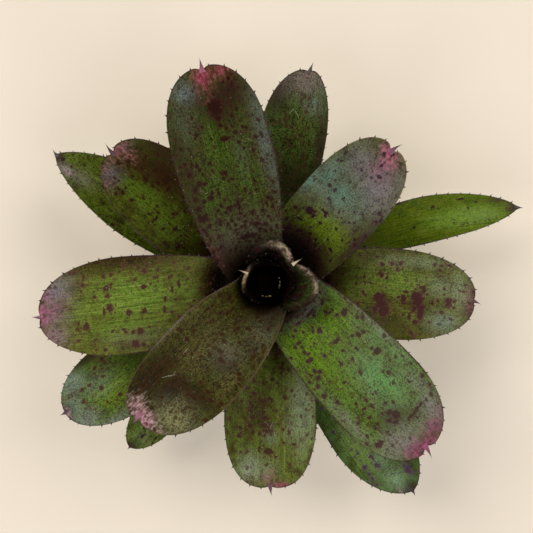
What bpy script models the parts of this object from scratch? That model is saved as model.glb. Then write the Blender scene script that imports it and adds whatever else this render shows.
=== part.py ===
"""A spotted, cup-forming bromeliad, cut with its short stem and standing on the stem's foot.

Lengths are in millimetres and angles in degrees until a mesh is made, which is in metres.
The plant's axis is Z, its foot is at the origin, and a bearing runs counter-clockwise from +X.
"""
import math
from dataclasses import dataclass

import bmesh
import bpy
import numpy as np

MM = 0.001

# Stem: a short cone with a flat cut foot, ringed by the scars of fallen leaves
STEM_HEIGHT = 44.4
STEM_FOOT_RADIUS = 13.0
STEM_TOP_RADIUS = 5.6
STEM_SHOULDER = 0.8
STEM_SIDES = 32
SCAR_HEIGHTS = (1.8, 3.4, 5.0)
SCAR_DEPTH = 0.5
SEAT_GAP = 0.4

# Rosette: how the sheaths nest from the heart (rank 0) outwards
ROOT_TOP = 40.8
ROOT_STEP = 2.2
ROOT_SLOPE = 8.0
ROOT_SLOPE_STEP = 0.2
ROOT_ARM = 0.85
NECK_ARM = 0.5
NECK_RADIUS_HEART = 7.8
NECK_RADIUS_STEP = 2.3
NECK_TOP = 77.0
NECK_STEP = 3.35
NECK_SLOPE = 88.0
NECK_SLOPE_STEP = 2.4

# Leaf: shared proportions of the sheath, the blade and their edge
ROOT_HALF_WIDTH = 8.0
SHEATH_HALF_WIDTH = 29.0
SHEATH_BELLY = 0.6
WRAP_LIMIT = 1.7
WIDEST_FROM_TIP = 48.0
NECK_REACH = 8.0
NECK_BLEND = 24.0
ROLLED_NECK_SHARE = 0.5
LIP_POWER = 1.5
UNROLL_LENGTH = 40.0
SHEATH_THICKNESS = 0.72
BLADE_THICKNESS = 1.3
EDGE_THINNING = 0.16
EDGE_THINNING_POWER = 4
TIP_BEND = 2.2
CURVE_SAMPLES = 240
LENGTH_STEP = 0.2
PLACE_STEP = 0.01

# Mesh: rows along a leaf, strips across it, and the teeth on its edge
SHEATH_ROWS = 7
BLADE_ROWS = 9
YOUNG_ROWS = 5
STRIPS = 8
TOOTH_WIDTH = 1.7
TOOTH_LENGTH = 1.9
TOOTH_HOOK = 0.8
SPINE_WIDTH = 2.6
SPINE_LENGTH = 5.0
SHARP_ANGLE = 40.0

# Colours, in linear light
STEM_BROWN = (0.23, 0.15, 0.08)
YOUNG_GREEN = (0.07, 0.13, 0.03)
OLD_GREEN = (0.10, 0.18, 0.03)
STEM_ROUGHNESS = 0.75
LEAF_ROUGHNESS = 0.42


@dataclass(frozen=True)
class Leaf:
    """One leaf: where its tip lies, and how its blade is shaped."""

    name: str
    rank: int
    bearing: float
    reach: float
    tip_height: float
    root_bearing: float
    width: float
    neck_share: float = 0.85
    tip_length: float = 38.0
    tip_power: float = 2.3
    tip_shift: float = 0.0
    tip_slope: float = 0.0
    channel: float = 4.0
    bow: float = 0.0
    spine_turn: float = -12.0
    rolled: bool = False
    lobes: tuple = (0.0, 0.0)
    start_arm: float = 0.26
    end_arm: float = 0.34


LEAVES = (
    Leaf("heart_leaf_1", -1, 20, 4.4, 67, 20, 18, tip_length=8, tip_slope=98, rolled=True),
    Leaf("heart_leaf_2", 0, 317, 7.6, 75, 317, 25, tip_length=10, tip_slope=92, rolled=True),
    Leaf("cup_leaf_1", 1, 153, 12, 88, 153, 36, tip_length=12, tip_slope=72, rolled=True, lobes=(1.0, 1.0)),
    Leaf("cup_leaf_2", 2, 36, 18.3, 99, 36, 52, tip_length=14, tip_slope=55, rolled=True, lobes=(10.0, 5.5)),
    Leaf("leaf_01", 3, 229, 95.5, 112, 243, 50, tip_length=42, tip_power=2.6, tip_shift=-0.22, tip_slope=8),
    Leaf("leaf_02", 4, 106.7, 115, 113, 122, 52, neck_share=0.77, tip_power=2.4, tip_slope=6, spine_turn=-4),
    Leaf("leaf_03", 5, 315, 121, 100, 323, 52.5, tip_shift=-0.05, spine_turn=-23),
    Leaf("leaf_04", 6, 187.6, 123, 90, 198, 53, tip_length=46, tip_power=2.2, tip_shift=0.08),
    Leaf("leaf_05", 7, 46.8, 98.5, 97, 45, 46, neck_share=1.0, tip_power=2.5, tip_slope=10, spine_turn=-24),
    Leaf("leaf_06", 8, 271, 112, 80, 275, 51, tip_power=2.7, tip_slope=-5, spine_turn=13),
    Leaf("leaf_07", 9, 140, 113, 76, 140, 50, neck_share=1.0, tip_length=46, tip_power=2.4),
    Leaf("leaf_08", 10, 355, 117, 70, 355, 51.5, tip_length=46, tip_slope=-5, spine_turn=-29),
    Leaf("leaf_09", 11, 213, 137, 60, 213, 45, tip_length=42, tip_power=2.0, tip_slope=-8),
    Leaf("leaf_10", 12, 80, 124, 60, 80, 39.5, tip_length=42, tip_power=2.0, tip_shift=-0.17, tip_slope=-5),
    Leaf("leaf_11", 13, 304, 150, 46, 305, 45, tip_length=48, tip_power=1.6, tip_shift=0.12, tip_slope=-12),
    Leaf("leaf_12", 14, 149, 144, 48, 149, 44, tip_length=83, tip_power=1.45, tip_slope=-8, spine_turn=-40),
    Leaf("leaf_13", 15, 16.5, 155, 42, 26, 29, tip_length=66, tip_power=1.5, tip_slope=-8, bow=5.0),
    Leaf("leaf_14", 16, 230.5, 130, 32, 230, 29, tip_length=36, tip_power=1.7, tip_slope=-12),
)


def direction(degrees):
    """Unit vector of an angle in a plane."""
    angle = math.radians(degrees)
    return np.array([math.cos(angle), math.sin(angle)])


def smooth_step(value):
    """Ease from 0 to 1 while value goes from 0 to 1."""
    value = np.clip(value, 0.0, 1.0)
    return value * value * (3.0 - 2.0 * value)


def mix(low, high, share):
    """Blend from low to high by share."""
    return low * (1.0 - share) + high * share


def bezier(points, count):
    """Points along a cubic Bezier curve."""
    t = np.linspace(0.0, 1.0, count)[:, None]
    start, arm_one, arm_two, end = points
    return (start * (1 - t) ** 3 + 3 * arm_one * t * (1 - t) ** 2
            + 3 * arm_two * (1 - t) * t ** 2 + end * t ** 3)


def unit(vectors):
    """Vectors scaled to length one."""
    return vectors / np.linalg.norm(vectors, axis=-1, keepdims=True)


def stem_radius(height):
    """Radius of the stem's cone at a height."""
    return STEM_FOOT_RADIUS + (STEM_TOP_RADIUS - STEM_FOOT_RADIUS) * height / STEM_HEIGHT


class LeafForm:
    """The curved middle surface of a leaf, addressed by length s and by place across, -1 to 1."""

    def __init__(self, leaf):
        self.leaf = leaf
        self.trace_midrib()
        self.set_frames()

    def trace_midrib(self):
        """Lay the midrib from its root on the stem, up the sheath to the neck, and out to the tip."""
        leaf = self.leaf
        root_height = ROOT_TOP - ROOT_STEP * leaf.rank
        root = np.array([stem_radius(root_height) + SEAT_GAP + SHEATH_THICKNESS / 2, root_height])
        neck = np.array([NECK_RADIUS_HEART + NECK_RADIUS_STEP * leaf.rank, NECK_TOP - NECK_STEP * leaf.rank])
        if leaf.rolled:
            neck[1] = mix(root[1], leaf.tip_height, ROLLED_NECK_SHARE)
        neck_way = direction(NECK_SLOPE - NECK_SLOPE_STEP * leaf.rank)
        root_way = direction(ROOT_SLOPE - ROOT_SLOPE_STEP * leaf.rank)
        rise = np.linalg.norm(neck - root)
        swell = root + root_way * (neck[0] - root[0]) * ROOT_ARM
        sheath = bezier((root, swell, neck - neck_way * rise * NECK_ARM, neck), CURVE_SAMPLES)

        neck_place = neck[0] * direction(leaf.root_bearing)
        if leaf.rolled:
            ahead, span = direction(leaf.bearing), leaf.reach - neck[0]
        else:
            chord = leaf.reach * direction(leaf.bearing) - neck_place
            span = np.linalg.norm(chord)
            ahead = chord / span
        aside = np.array([-ahead[1], ahead[0]])
        start = np.array([0.0, neck[1]])
        end = np.array([span, leaf.tip_height])
        length = np.linalg.norm(end - start)
        arm_one = start + neck_way * length * leaf.start_arm
        arm_two = end - direction(leaf.tip_slope) * length * leaf.end_arm
        blade = bezier((start, arm_one, arm_two, end), CURVE_SAMPLES)[1:]
        sheath_place = sheath[:, :1] * direction(leaf.root_bearing)
        sway = leaf.bow * np.sin(math.pi * np.linspace(0.0, 1.0, len(blade)))[:, None]
        blade_place = neck_place + blade[:, :1] * ahead + sway * aside
        place = np.vstack([sheath_place, blade_place])
        height = np.concatenate([sheath[:, 1], blade[:, 1]])
        self.midrib = np.column_stack([place, height])
        steps = np.linalg.norm(np.diff(self.midrib, axis=0), axis=1)
        self.along = np.concatenate([[0.0], np.cumsum(steps)])
        self.neck = self.along[CURVE_SAMPLES - 1]
        self.length = self.along[-1]
        self.neck_radius = neck[0]
        self.aside = aside

    def set_frames(self):
        """Set the direction across the leaf and the one that its upper face looks in."""
        tangent = unit(np.gradient(self.midrib, self.along, axis=0))
        root_way = direction(self.leaf.root_bearing)
        round_stem = np.array([-root_way[1], root_way[0], 0.0])
        across_blade = np.array([self.aside[0], self.aside[1], 0.0])
        share = smooth_step((self.along - self.neck + NECK_REACH) / NECK_BLEND)[:, None]
        across = mix(round_stem, across_blade, share)
        across = across - (across * tangent).sum(axis=1, keepdims=True) * tangent
        self.across = unit(across)
        self.upward = np.cross(tangent, self.across)

    def sample(self, table, s):
        """Read one of the midrib's tables at length s."""
        return np.stack([np.interp(s, self.along, table[:, axis]) for axis in range(3)], axis=-1)

    def half_width(self, s):
        """Half the leaf's width at length s, before the tip rounds it off."""
        leaf = self.leaf
        blade = leaf.width / 2
        neck = blade * leaf.neck_share
        sheath = min(SHEATH_HALF_WIDTH, blade) if leaf.rolled else SHEATH_HALF_WIDTH
        belly = self.neck * SHEATH_BELLY
        widest = self.length - WIDEST_FROM_TIP
        lower = mix(ROOT_HALF_WIDTH, sheath, smooth_step(s / belly))
        narrowing = smooth_step((s - belly) / (self.neck + NECK_REACH - belly))
        upper = mix(neck, blade, smooth_step((s - self.neck) / (widest - self.neck)))
        if leaf.rolled:
            upper = blade
        place = self.sample(self.midrib, s)
        round_limit = WRAP_LIMIT * np.hypot(place[..., 0], place[..., 1])
        return np.minimum(mix(lower, upper, narrowing), round_limit)

    def tip_drop(self, place):
        """How far short of the tip the edge lies at a place across."""
        leaf = self.leaf
        return leaf.tip_length * (1.0 - np.sqrt(1.0 - np.abs(place) ** leaf.tip_power))

    def length_at(self, s, place):
        """Length along the leaf of a row s, which bends with the rounded tip as it nears it."""
        reach = min(TIP_BEND * self.leaf.tip_length, self.length - self.neck)
        share = smooth_step((s - (self.length - reach)) / reach)
        return s - self.tip_drop(place) * share

    def points(self, s, place):
        """Points of the middle surface at length s and place across."""
        s, place = np.broadcast_arrays(np.asarray(s, float), np.asarray(place, float))
        leaf = self.leaf
        middle = self.sample(self.midrib, s)
        shift = leaf.tip_shift * smooth_step((s - self.neck) / (self.length - self.neck))
        shifted = shift + place * (1.0 - np.sign(place) * shift)
        sideways = shifted * self.half_width(s)
        radius = np.hypot(middle[..., 0], middle[..., 1])
        turn = sideways / radius
        lip = smooth_step((s - self.neck) / (self.length - self.neck)) ** LIP_POWER
        lobe = np.where(place < 0.0, *leaf.lobes)
        bulge = 1.0 + lobe / leaf.reach * lip * np.sin(math.pi * np.abs(place)) ** 2
        rolled = np.stack([bulge * (middle[..., 0] * np.cos(turn) - middle[..., 1] * np.sin(turn)),
                           bulge * (middle[..., 0] * np.sin(turn) + middle[..., 1] * np.cos(turn)),
                           middle[..., 2]], axis=-1)
        if leaf.rolled:
            return rolled
        opening = smooth_step((s - self.neck) / UNROLL_LENGTH)
        bend = mix(1.0 / self.neck_radius, 8.0 * leaf.channel / leaf.width ** 2, opening)
        sideways_run = np.sin(bend * sideways) / bend
        lift = (1.0 - np.cos(bend * sideways)) / bend
        open_blade = (middle + self.sample(self.across, s) * sideways_run[..., None]
                      + self.sample(self.upward, s) * lift[..., None])
        share = smooth_step((s - self.neck + NECK_REACH) / NECK_BLEND)[..., None]
        return mix(rolled, open_blade, share)

    def normals(self, s, place):
        """Directions that the leaf's upper face looks in."""
        inner = np.clip(place, 2 * PLACE_STEP - 1, 1 - 2 * PLACE_STEP)
        along = self.points(s + LENGTH_STEP, inner) - self.points(s - LENGTH_STEP, inner)
        across = self.points(s, inner + PLACE_STEP) - self.points(s, inner - PLACE_STEP)
        return unit(np.cross(along, across))

    def thickness(self, s, place):
        """Thickness of the leaf, thinner at its edge."""
        body = mix(SHEATH_THICKNESS, BLADE_THICKNESS, smooth_step((s - self.neck) / UNROLL_LENGTH))
        if self.leaf.rolled:
            body = SHEATH_THICKNESS
        return body * (1.0 - EDGE_THINNING * np.asarray(place) ** EDGE_THINNING_POWER)


class LeafMesh:
    """A closed solid of a leaf: two alike faces, joined at an edge that carries the teeth."""

    def __init__(self, leaf):
        self.form = LeafForm(leaf)
        self.leaf = leaf
        self.vertices = []
        self.faces = []

    def rows(self):
        """Lengths of the rows, from the root to the tip."""
        count = YOUNG_ROWS if self.leaf.rolled else BLADE_ROWS
        sheath = np.linspace(0.0, self.form.neck, SHEATH_ROWS + 1)
        blade = np.linspace(self.form.neck, self.form.length, count + 1)
        return np.concatenate([sheath, blade[1:]])

    def places(self, s):
        """Places across of the columns: even in the sheath, and closer at the edges by the tip."""
        even = np.linspace(-1.0, 1.0, STRIPS + 1)
        crowded = np.sin(math.pi / 2 * even)
        share = smooth_step((s - self.form.neck) / (self.form.length - self.form.neck))
        return mix(even, crowded, share)

    def add_pair(self, s, place):
        """Add a point of the upper face and the one below it, and return their indices."""
        middle = self.form.points(s, place)
        half = self.form.normals(s, place) * self.form.thickness(s, place) / 2
        self.vertices.extend([middle + half, middle - half])
        return len(self.vertices) - 2, len(self.vertices) - 1

    def add_face(self, *pairs):
        """Add a triangle to the upper face and the same one to the lower face."""
        self.faces.append([pair[0] for pair in pairs])
        self.faces.append([pair[1] for pair in reversed(pairs)])

    def add_cell(self, inner, outer):
        """Fill the cell between two inner points and a run of outer ones."""
        middle = len(outer) // 2
        for index in range(middle):
            self.add_face(inner[0], outer[index], outer[index + 1])
        self.add_face(inner[0], outer[middle], inner[1])
        for index in range(middle, len(outer) - 1):
            self.add_face(inner[1], outer[index], outer[index + 1])

    def add_edge(self, first, second):
        """Close the leaf's edge between two pairs of points."""
        self.faces.append([first[0], first[1], second[1]])
        self.faces.append([first[0], second[1], second[0]])

    def add_point(self, ring, place):
        """Close a ring of the edge with a pointed tooth."""
        self.vertices.append(place)
        apex = len(self.vertices) - 1
        for index, corner in enumerate(ring):
            self.faces.append([corner, ring[(index + 1) % len(ring)], apex])

    def outward(self, first, second, centre):
        """Unit directions along the edge and away from the leaf at a stretch of the edge."""
        low = (np.array(self.vertices[first[0]]) + self.vertices[first[1]]) / 2
        high = (np.array(self.vertices[second[0]]) + self.vertices[second[1]]) / 2
        along = unit(high - low)
        face = unit(np.array(self.vertices[first[0]]) - self.vertices[first[1]])
        away = unit(np.cross(along, face))
        if np.dot(away, (low + high) / 2 - centre) < 0:
            away = -away
        return (low + high) / 2, along, away

    def build_grid(self):
        """Add the pairs of points of every row and column."""
        self.levels = self.rows()
        self.grid = []
        self.addresses = []
        for s in self.levels:
            places = self.places(s)
            lengths = self.form.length_at(s, places)
            self.grid.append([self.add_pair(*address) for address in zip(lengths, places)])
            self.addresses.append(list(zip(lengths, places)))

    def toothed_run(self, start, end, centre, hook):
        """Outer points between two edge points, with a tooth halfway along them."""
        (row_a, column_a), (row_b, column_b) = start, end
        address_a = np.array(self.addresses[row_a][column_a])
        address_b = np.array(self.addresses[row_b][column_b])
        pair_a, pair_b = self.grid[row_a][column_a], self.grid[row_b][column_b]
        size = np.linalg.norm(np.array(self.vertices[pair_a[0]]) - self.vertices[pair_b[0]])
        half = TOOTH_WIDTH / 2 / size
        roots = [self.add_pair(*self.on_edge(mix(address_a, address_b, share), row_a == row_b))
                 for share in (0.5 - half, 0.5 + half)]
        seat, along, away = self.outward(*roots, centre)
        self.add_point([roots[0][0], roots[0][1], roots[1][1], roots[1][0]],
                       seat + away * TOOTH_LENGTH + along * TOOTH_HOOK * hook)
        self.add_edge(pair_a, roots[0])
        self.add_edge(roots[1], pair_b)
        return [pair_a, *roots, pair_b]

    def on_edge(self, address, at_tip):
        """Put an address that lies between two others back onto the rounded tip."""
        if at_tip:
            return self.form.length - self.form.tip_drop(address[1]), address[1]
        return tuple(address)

    def spine_runs(self, row, column, centre):
        """Outer points on both sides of the tip, which carry the leaf's end spine between them."""
        tip = self.grid[row][column]
        runs = []
        for neighbour in (column - 1, column + 1):
            beside = self.grid[row][neighbour]
            size = np.linalg.norm(np.array(self.vertices[tip[0]]) - self.vertices[beside[0]])
            place = mix(0.0, self.addresses[row][neighbour][1], SPINE_WIDTH / 2 / size)
            root = self.add_pair(*self.on_edge((0.0, place), True))
            self.add_edge(root, beside)
            runs.append((beside, root))
        (left, left_root), (right, right_root) = runs
        seat, along, away = self.outward(left_root, right_root, centre)
        turn = math.radians(self.leaf.spine_turn)
        side = along
        if np.dot(np.cross(away, along), self.form.normals(self.form.length, 0.0)) < 0:
            side = -along
        way = away * math.cos(turn) + side * math.sin(turn)
        ring = [left_root[0], tip[0], right_root[0], right_root[1], tip[1], left_root[1]]
        self.add_point(ring, seat + way * SPINE_LENGTH)
        return [left, left_root, tip], [tip, right_root, right]

    def build_solid(self):
        """Fill the faces, the plain edges and the teeth."""
        self.build_grid()
        last, middle = len(self.levels) - 1, STRIPS // 2
        centre = self.form.points(mix(self.form.neck, self.form.length, 0.5), 0.0)
        left_spine, right_spine = self.spine_runs(last, middle, centre)
        for row in range(last):
            for column in range(STRIPS):
                self.build_cell(row, column, last, middle, centre, (left_spine, right_spine))
        for column in range(STRIPS):
            self.add_edge(self.grid[0][column], self.grid[0][column + 1])

    def build_cell(self, row, column, last, middle, centre, spines):
        """Fill one cell, and its stretch of the edge if it has one."""
        low, high = self.grid[row], self.grid[row + 1]
        toothed = row >= SHEATH_ROWS
        left, right = column == 0, column == STRIPS - 1
        if row == last - 1:
            outer = self.tip_run(row, column, middle, centre, spines)
            self.add_cell((low[column], low[column + 1]), outer)
            if left:
                self.add_edge(low[0], high[0])
            if right:
                self.add_edge(low[STRIPS], high[STRIPS])
        elif left or right:
            edge = 0 if left else STRIPS
            inner = 1 if left else STRIPS - 1
            outer = [low[edge], high[edge]]
            if toothed:
                outer = self.toothed_run((row, edge), (row + 1, edge), centre, 1.0)
            else:
                self.add_edge(low[edge], high[edge])
            self.add_cell((low[inner], high[inner]), outer)
        else:
            self.add_cell((low[column], low[column + 1]), [high[column], high[column + 1]])

    def tip_run(self, row, column, middle, centre, spines):
        """Outer points of a cell at the rounded tip."""
        if column == middle - 1:
            return spines[0]
        if column == middle:
            return spines[1]
        hook = 1.0 if column < middle else -1.0
        return self.toothed_run((row + 1, column), (row + 1, column + 1), centre, hook)


def make_material(name, colour, roughness):
    """A plain shaded surface for a sub-part."""
    material = bpy.data.materials.new(name)
    material.use_nodes = True
    shader = material.node_tree.nodes["Principled BSDF"]
    shader.inputs["Base Color"].default_value = (*colour, 1.0)
    shader.inputs["Roughness"].default_value = roughness
    shader.inputs["Metallic"].default_value = 0.0
    return material


def add_object(name, vertices, faces, material, parent):
    """Make a closed, smooth-shaded object from millimetre points, its faces turned outwards."""
    mesh = bpy.data.meshes.new(name)
    mesh.from_pydata([tuple(float(value) * MM for value in vertex) for vertex in vertices], [], faces)
    work = bmesh.new()
    work.from_mesh(mesh)
    bmesh.ops.recalc_face_normals(work, faces=work.faces)
    work.to_mesh(mesh)
    work.free()
    mesh.shade_smooth()
    mesh.set_sharp_from_angle(angle=math.radians(SHARP_ANGLE))
    mesh.materials.append(material)
    item = bpy.data.objects.new(name, mesh)
    bpy.context.collection.objects.link(item)
    item.parent = parent
    return item


def build_stem(material, parent):
    """Turn the stem: a cone with a flat foot and a few ringed scars below the leaves."""
    profile = [(STEM_FOOT_RADIUS, 0.0)]
    for height in SCAR_HEIGHTS:
        radius = stem_radius(height)
        profile.append((radius, height - SCAR_DEPTH))
        profile.append((radius - SCAR_DEPTH, height))
        profile.append((radius, height + SCAR_DEPTH))
    shoulder = STEM_HEIGHT - STEM_SHOULDER
    profile.append((stem_radius(shoulder), shoulder))
    profile.append((STEM_TOP_RADIUS - 2 * STEM_SHOULDER, STEM_HEIGHT))
    vertices = []
    faces = []
    for radius, height in profile:
        for side in range(STEM_SIDES):
            ray = direction(360.0 * side / STEM_SIDES)
            vertices.append((radius * ray[0], radius * ray[1], height))
    for level in range(len(profile) - 1):
        for side in range(STEM_SIDES):
            after = (side + 1) % STEM_SIDES
            low, high = level * STEM_SIDES, (level + 1) * STEM_SIDES
            faces.append([low + side, low + after, high + after, high + side])
    faces.append(list(range(STEM_SIDES)))
    faces.append([len(vertices) - STEM_SIDES + side for side in range(STEM_SIDES)])
    return add_object("stem", vertices, faces, material, parent)


def build_leaf(leaf, material, parent):
    """Build one leaf with its teeth and end spine."""
    work = LeafMesh(leaf)
    work.build_solid()
    return add_object(leaf.name, work.vertices, work.faces, material, parent)


def main():
    """Build the stem and every leaf."""
    for item in list(bpy.data.objects):
        bpy.data.objects.remove(item)
    plant = bpy.data.objects.new("plant", None)
    bpy.context.collection.objects.link(plant)
    build_stem(make_material("stem_rind", STEM_BROWN, STEM_ROUGHNESS), plant)
    for index, leaf in enumerate(LEAVES):
        age = index / (len(LEAVES) - 1)
        green = [mix(young, old, age) for young, old in zip(YOUNG_GREEN, OLD_GREEN)]
        build_leaf(leaf, make_material(leaf.name + "_skin", green, LEAF_ROUGHNESS), plant)


main()
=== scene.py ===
"""The looks of a spotted, cup-forming bromeliad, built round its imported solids.

Leaves are sized in millimetres and degrees, as a grower would measure them, and meshes are in
metres. A place on a leaf is given by its length s, from the root on the stem to the tip, and by
its place across, from -1 at the clockwise margin to 1 at the other one.
"""
import logging
import math
from dataclasses import dataclass, field, replace
from enum import Enum
from functools import partial
from typing import Any, Callable

import bpy
import numpy as np
from mathutils import Matrix, Vector


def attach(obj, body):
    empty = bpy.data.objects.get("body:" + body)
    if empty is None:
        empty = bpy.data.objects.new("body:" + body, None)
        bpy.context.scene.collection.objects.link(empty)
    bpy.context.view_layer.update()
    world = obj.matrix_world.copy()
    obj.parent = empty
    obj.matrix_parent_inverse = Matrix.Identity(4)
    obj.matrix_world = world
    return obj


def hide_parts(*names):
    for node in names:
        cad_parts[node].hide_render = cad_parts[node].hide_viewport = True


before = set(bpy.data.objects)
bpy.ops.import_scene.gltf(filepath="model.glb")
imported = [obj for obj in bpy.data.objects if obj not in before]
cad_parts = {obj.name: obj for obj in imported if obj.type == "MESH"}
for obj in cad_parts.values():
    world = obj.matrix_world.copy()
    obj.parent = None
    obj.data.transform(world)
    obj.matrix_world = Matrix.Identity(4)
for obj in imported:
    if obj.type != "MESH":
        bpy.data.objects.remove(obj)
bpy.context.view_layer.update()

MM = 0.001
BODY = "root"
LEAF_UV = "leaf_mm"

# Steps across and along a leaf for reading its slope, half the notch of a tip, and how far a lip turns over
PLACE_STEP = 0.01
LENGTH_STEP = 0.2
NOTCH_HALF_WIDTH = 2.6
LIP_TURN = 2.3

# The edge attribute goes from 0 at a leaf's margin to 1 this many millimetres inside it
EDGE_BAND = 10.0

# How far the relief's pattern moves on from one leaf to the next
RANK_SHIFT = 1.7

# The range of a fine noise that is stretched to full contrast, and the most that a soft marking can reach
CONTRAST = (0.38, 0.62)
STRONGEST = 1.6

# Settings that many nodes of the materials share; a Mix node takes its two colours at sockets 6 and 7
COLOUR = {"data_type": "RGBA", "out": 2}
SMOOTH = {"interpolation_type": "SMOOTHSTEP"}
FLAT = {"noise_dimensions": "2D"}
PRODUCT = {"operation": "MULTIPLY"}
RAISED = {"operation": "MULTIPLY_ADD"}
SCALED = {"operation": "SCALE"}

log = logging.getLogger("bromeliad")
Array = np.ndarray
Socket = bpy.types.NodeSocket
Object = bpy.types.Object
# A soft-edged oval on a leaf: distance from the tip, place across, half length, half width, strength if not 1
Oval = tuple[float, ...]


def smooth_step(value: Array | float) -> Array | float:
    """Ease from 0 to 1 while a value goes from 0 to 1."""
    value = np.clip(value, 0.0, 1.0)
    return value * value * (3.0 - 2.0 * value)


def mix(low: Array | float, high: Array | float, share: Array | float) -> Array | float:
    """Blend from low to high by share."""
    return low * (1.0 - share) + high * share


def direction(degrees: float) -> Array:
    """Unit vector of an angle in a plane."""
    return np.array([math.cos(math.radians(degrees)), math.sin(math.radians(degrees))])


def unit(vectors: Array) -> Array:
    """Vectors scaled to length one."""
    return vectors / np.linalg.norm(vectors, axis=-1, keepdims=True)


def look_up(where: Array | float, steps: Array, table: Array) -> Array:
    """Read the columns of a table between its rows.

    Args:
        where: The places to read it at.
        steps: The place of each row.
        table: The rows.

    Returns:
        The columns' values at each place, last in the array's order.
    """
    return np.stack([np.interp(where, steps, column) for column in table.T], axis=-1)


def bezier(start: Array, arm_one: Array, arm_two: Array, end: Array, count: int) -> Array:
    """Points along a cubic Bezier curve.

    Args:
        start: First point.
        arm_one: Handle of the first point.
        arm_two: Handle of the last point.
        end: Last point.
        count: How many points to give.

    Returns:
        The points, one row each.
    """
    t = np.linspace(0.0, 1.0, count)[:, None]
    return (start * (1 - t) ** 3 + 3 * arm_one * t * (1 - t) ** 2
            + 3 * arm_two * (1 - t) * t ** 2 + end * t ** 3)


def linear(colour: str) -> tuple[float, float, float, float]:
    """Turn an sRGB hex colour to linear light.

    Args:
        colour: Six hex digits after a hash sign.

    Returns:
        Red, green, blue and an alpha of 1.
    """
    parts = (int(colour[place:place + 2], 16) / 255 for place in (1, 3, 5))
    return (*(part / 12.92 if part <= 0.04045 else ((part + 0.055) / 1.055) ** 2.4 for part in parts), 1.0)


def feed(tree: bpy.types.NodeTree, node: bpy.types.Node, inputs: dict[str | int, Any]) -> None:
    """Link or set some sockets of a node.

    Args:
        tree: The tree that holds the node.
        node: The node.
        inputs: Socket names or numbers, each with an output to link, a hex colour or a value.
    """
    for name, value in inputs.items():
        if isinstance(value, Socket):
            tree.links.new(value, node.inputs[name])
        else:
            node.inputs[name].default_value = linear(value) if isinstance(value, str) else value


def add_node(tree: bpy.types.NodeTree, kind: str, *inputs: Any, out: int | str | None = 0,
             **settings: Any) -> Socket | bpy.types.Node:
    """Add a node to a tree with its settings and links.

    Args:
        tree: The node tree.
        kind: The node's type name, without the ShaderNode before it.
        inputs: What its first sockets take, or one table of sockets and what they take.
        out: The output to give, or None for the node.
        settings: Properties of the node.

    Returns:
        The output, or the node.
    """
    node = tree.nodes.new("ShaderNode" + kind)
    for name, value in settings.items():
        setattr(node, name, value)
    feed(tree, node, inputs[0] if inputs and isinstance(inputs[0], dict) else dict(enumerate(inputs)))
    return node if out is None else node.outputs[out]


def start_material(name: str) -> tuple[bpy.types.Material, Callable[..., Any]]:
    """Start a material with a Principled shader.

    Args:
        name: Its name.

    Returns:
        The material, and add_node for its own tree.
    """
    material = bpy.data.materials.new(name)
    material.use_nodes = True
    return material, partial(add_node, material.node_tree)


def finish_material(material: bpy.types.Material, colour: Socket, roughness: Socket | float,
                    relief: tuple[Socket, float, float] | None = None, **more: Any) -> bpy.types.Material:
    """Feed a material's shader.

    Args:
        material: The material.
        colour: Its colour.
        roughness: Its roughness.
        relief: A height with its strength and its depth in millimetres.
        more: Other sockets of the shader, with _ for each blank of their names.

    Returns:
        The material.
    """
    tree = material.node_tree
    inputs = {"Base Color": colour, "Roughness": roughness}
    inputs.update({name.replace("_", " "): value for name, value in more.items()})
    if relief:
        height, strength, depth = relief
        bump = {"Height": height, "Strength": strength, "Distance": depth * MM}
        inputs["Normal"] = add_node(tree, "Bump", bump)
    feed(tree, tree.nodes["Principled BSDF"], inputs)
    return material


def deselect_all() -> None:
    """Leave nothing selected, so that an operator acts on new work only."""
    if bpy.context.object and bpy.context.object.mode != "OBJECT":
        bpy.ops.object.mode_set(mode="OBJECT")
    for item in bpy.context.selected_objects:
        item.select_set(False)


def activate(item: Object, *others: Object) -> None:
    """Select these objects alone.

    Args:
        item: The object to make active.
        others: What else to select.
    """
    deselect_all()
    for each in (item, *others):
        each.select_set(True)
    bpy.context.view_layer.objects.active = item


def read_points(mesh: bpy.types.Mesh) -> Array:
    """Read a mesh's points.

    Args:
        mesh: The mesh.

    Returns:
        The points, one row each.
    """
    flat = np.empty(len(mesh.vertices) * 3, np.float64)
    mesh.vertices.foreach_get("co", flat)
    return flat.reshape(-1, 3)


def write_points(mesh: bpy.types.Mesh, points: Array) -> None:
    """Put a mesh's points at new places."""
    mesh.vertices.foreach_set("co", np.asarray(points, np.float32).ravel())
    mesh.update()


def write_uv(mesh: bpy.types.Mesh, places: Array) -> None:
    """Give a mesh one UV map, in millimetres across a leaf and from its tip.

    Args:
        mesh: The mesh, whose other UV maps are removed.
        places: The two coordinates of each point.
    """
    while mesh.uv_layers:
        mesh.uv_layers.remove(mesh.uv_layers[0])
    layer = mesh.uv_layers.new(name=LEAF_UV)
    corners = np.empty(len(mesh.loops), np.int32)
    mesh.loops.foreach_get("vertex_index", corners)
    layer.data.foreach_set("uv", np.asarray(places, np.float32)[corners].ravel())


def write_tint(mesh: bpy.types.Mesh, name: str, *channels: Array) -> None:
    """Store four values of each point as a named colour attribute.

    Args:
        mesh: The mesh.
        name: The attribute's name.
        channels: The four values, each with one number for each point.
    """
    attribute = mesh.color_attributes.new(name, "FLOAT_COLOR", "POINT")
    attribute.data.foreach_set("color", np.stack(channels, axis=1).astype(np.float32).ravel())


def finish_piece(piece: Object, node: str, crease: float) -> Object:
    """Smooth a piece, and let it ride on the plant's body in place of its plain solid.

    Args:
        piece: The piece.
        node: The CAD node that it stands for.
        crease: The angle in degrees from which an edge stays sharp.

    Returns:
        The piece.
    """
    activate(piece)
    bpy.ops.object.shade_smooth_by_angle(angle=math.radians(crease))
    piece.name = node + "_living"
    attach(piece, BODY)
    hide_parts(node)
    return piece


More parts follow.
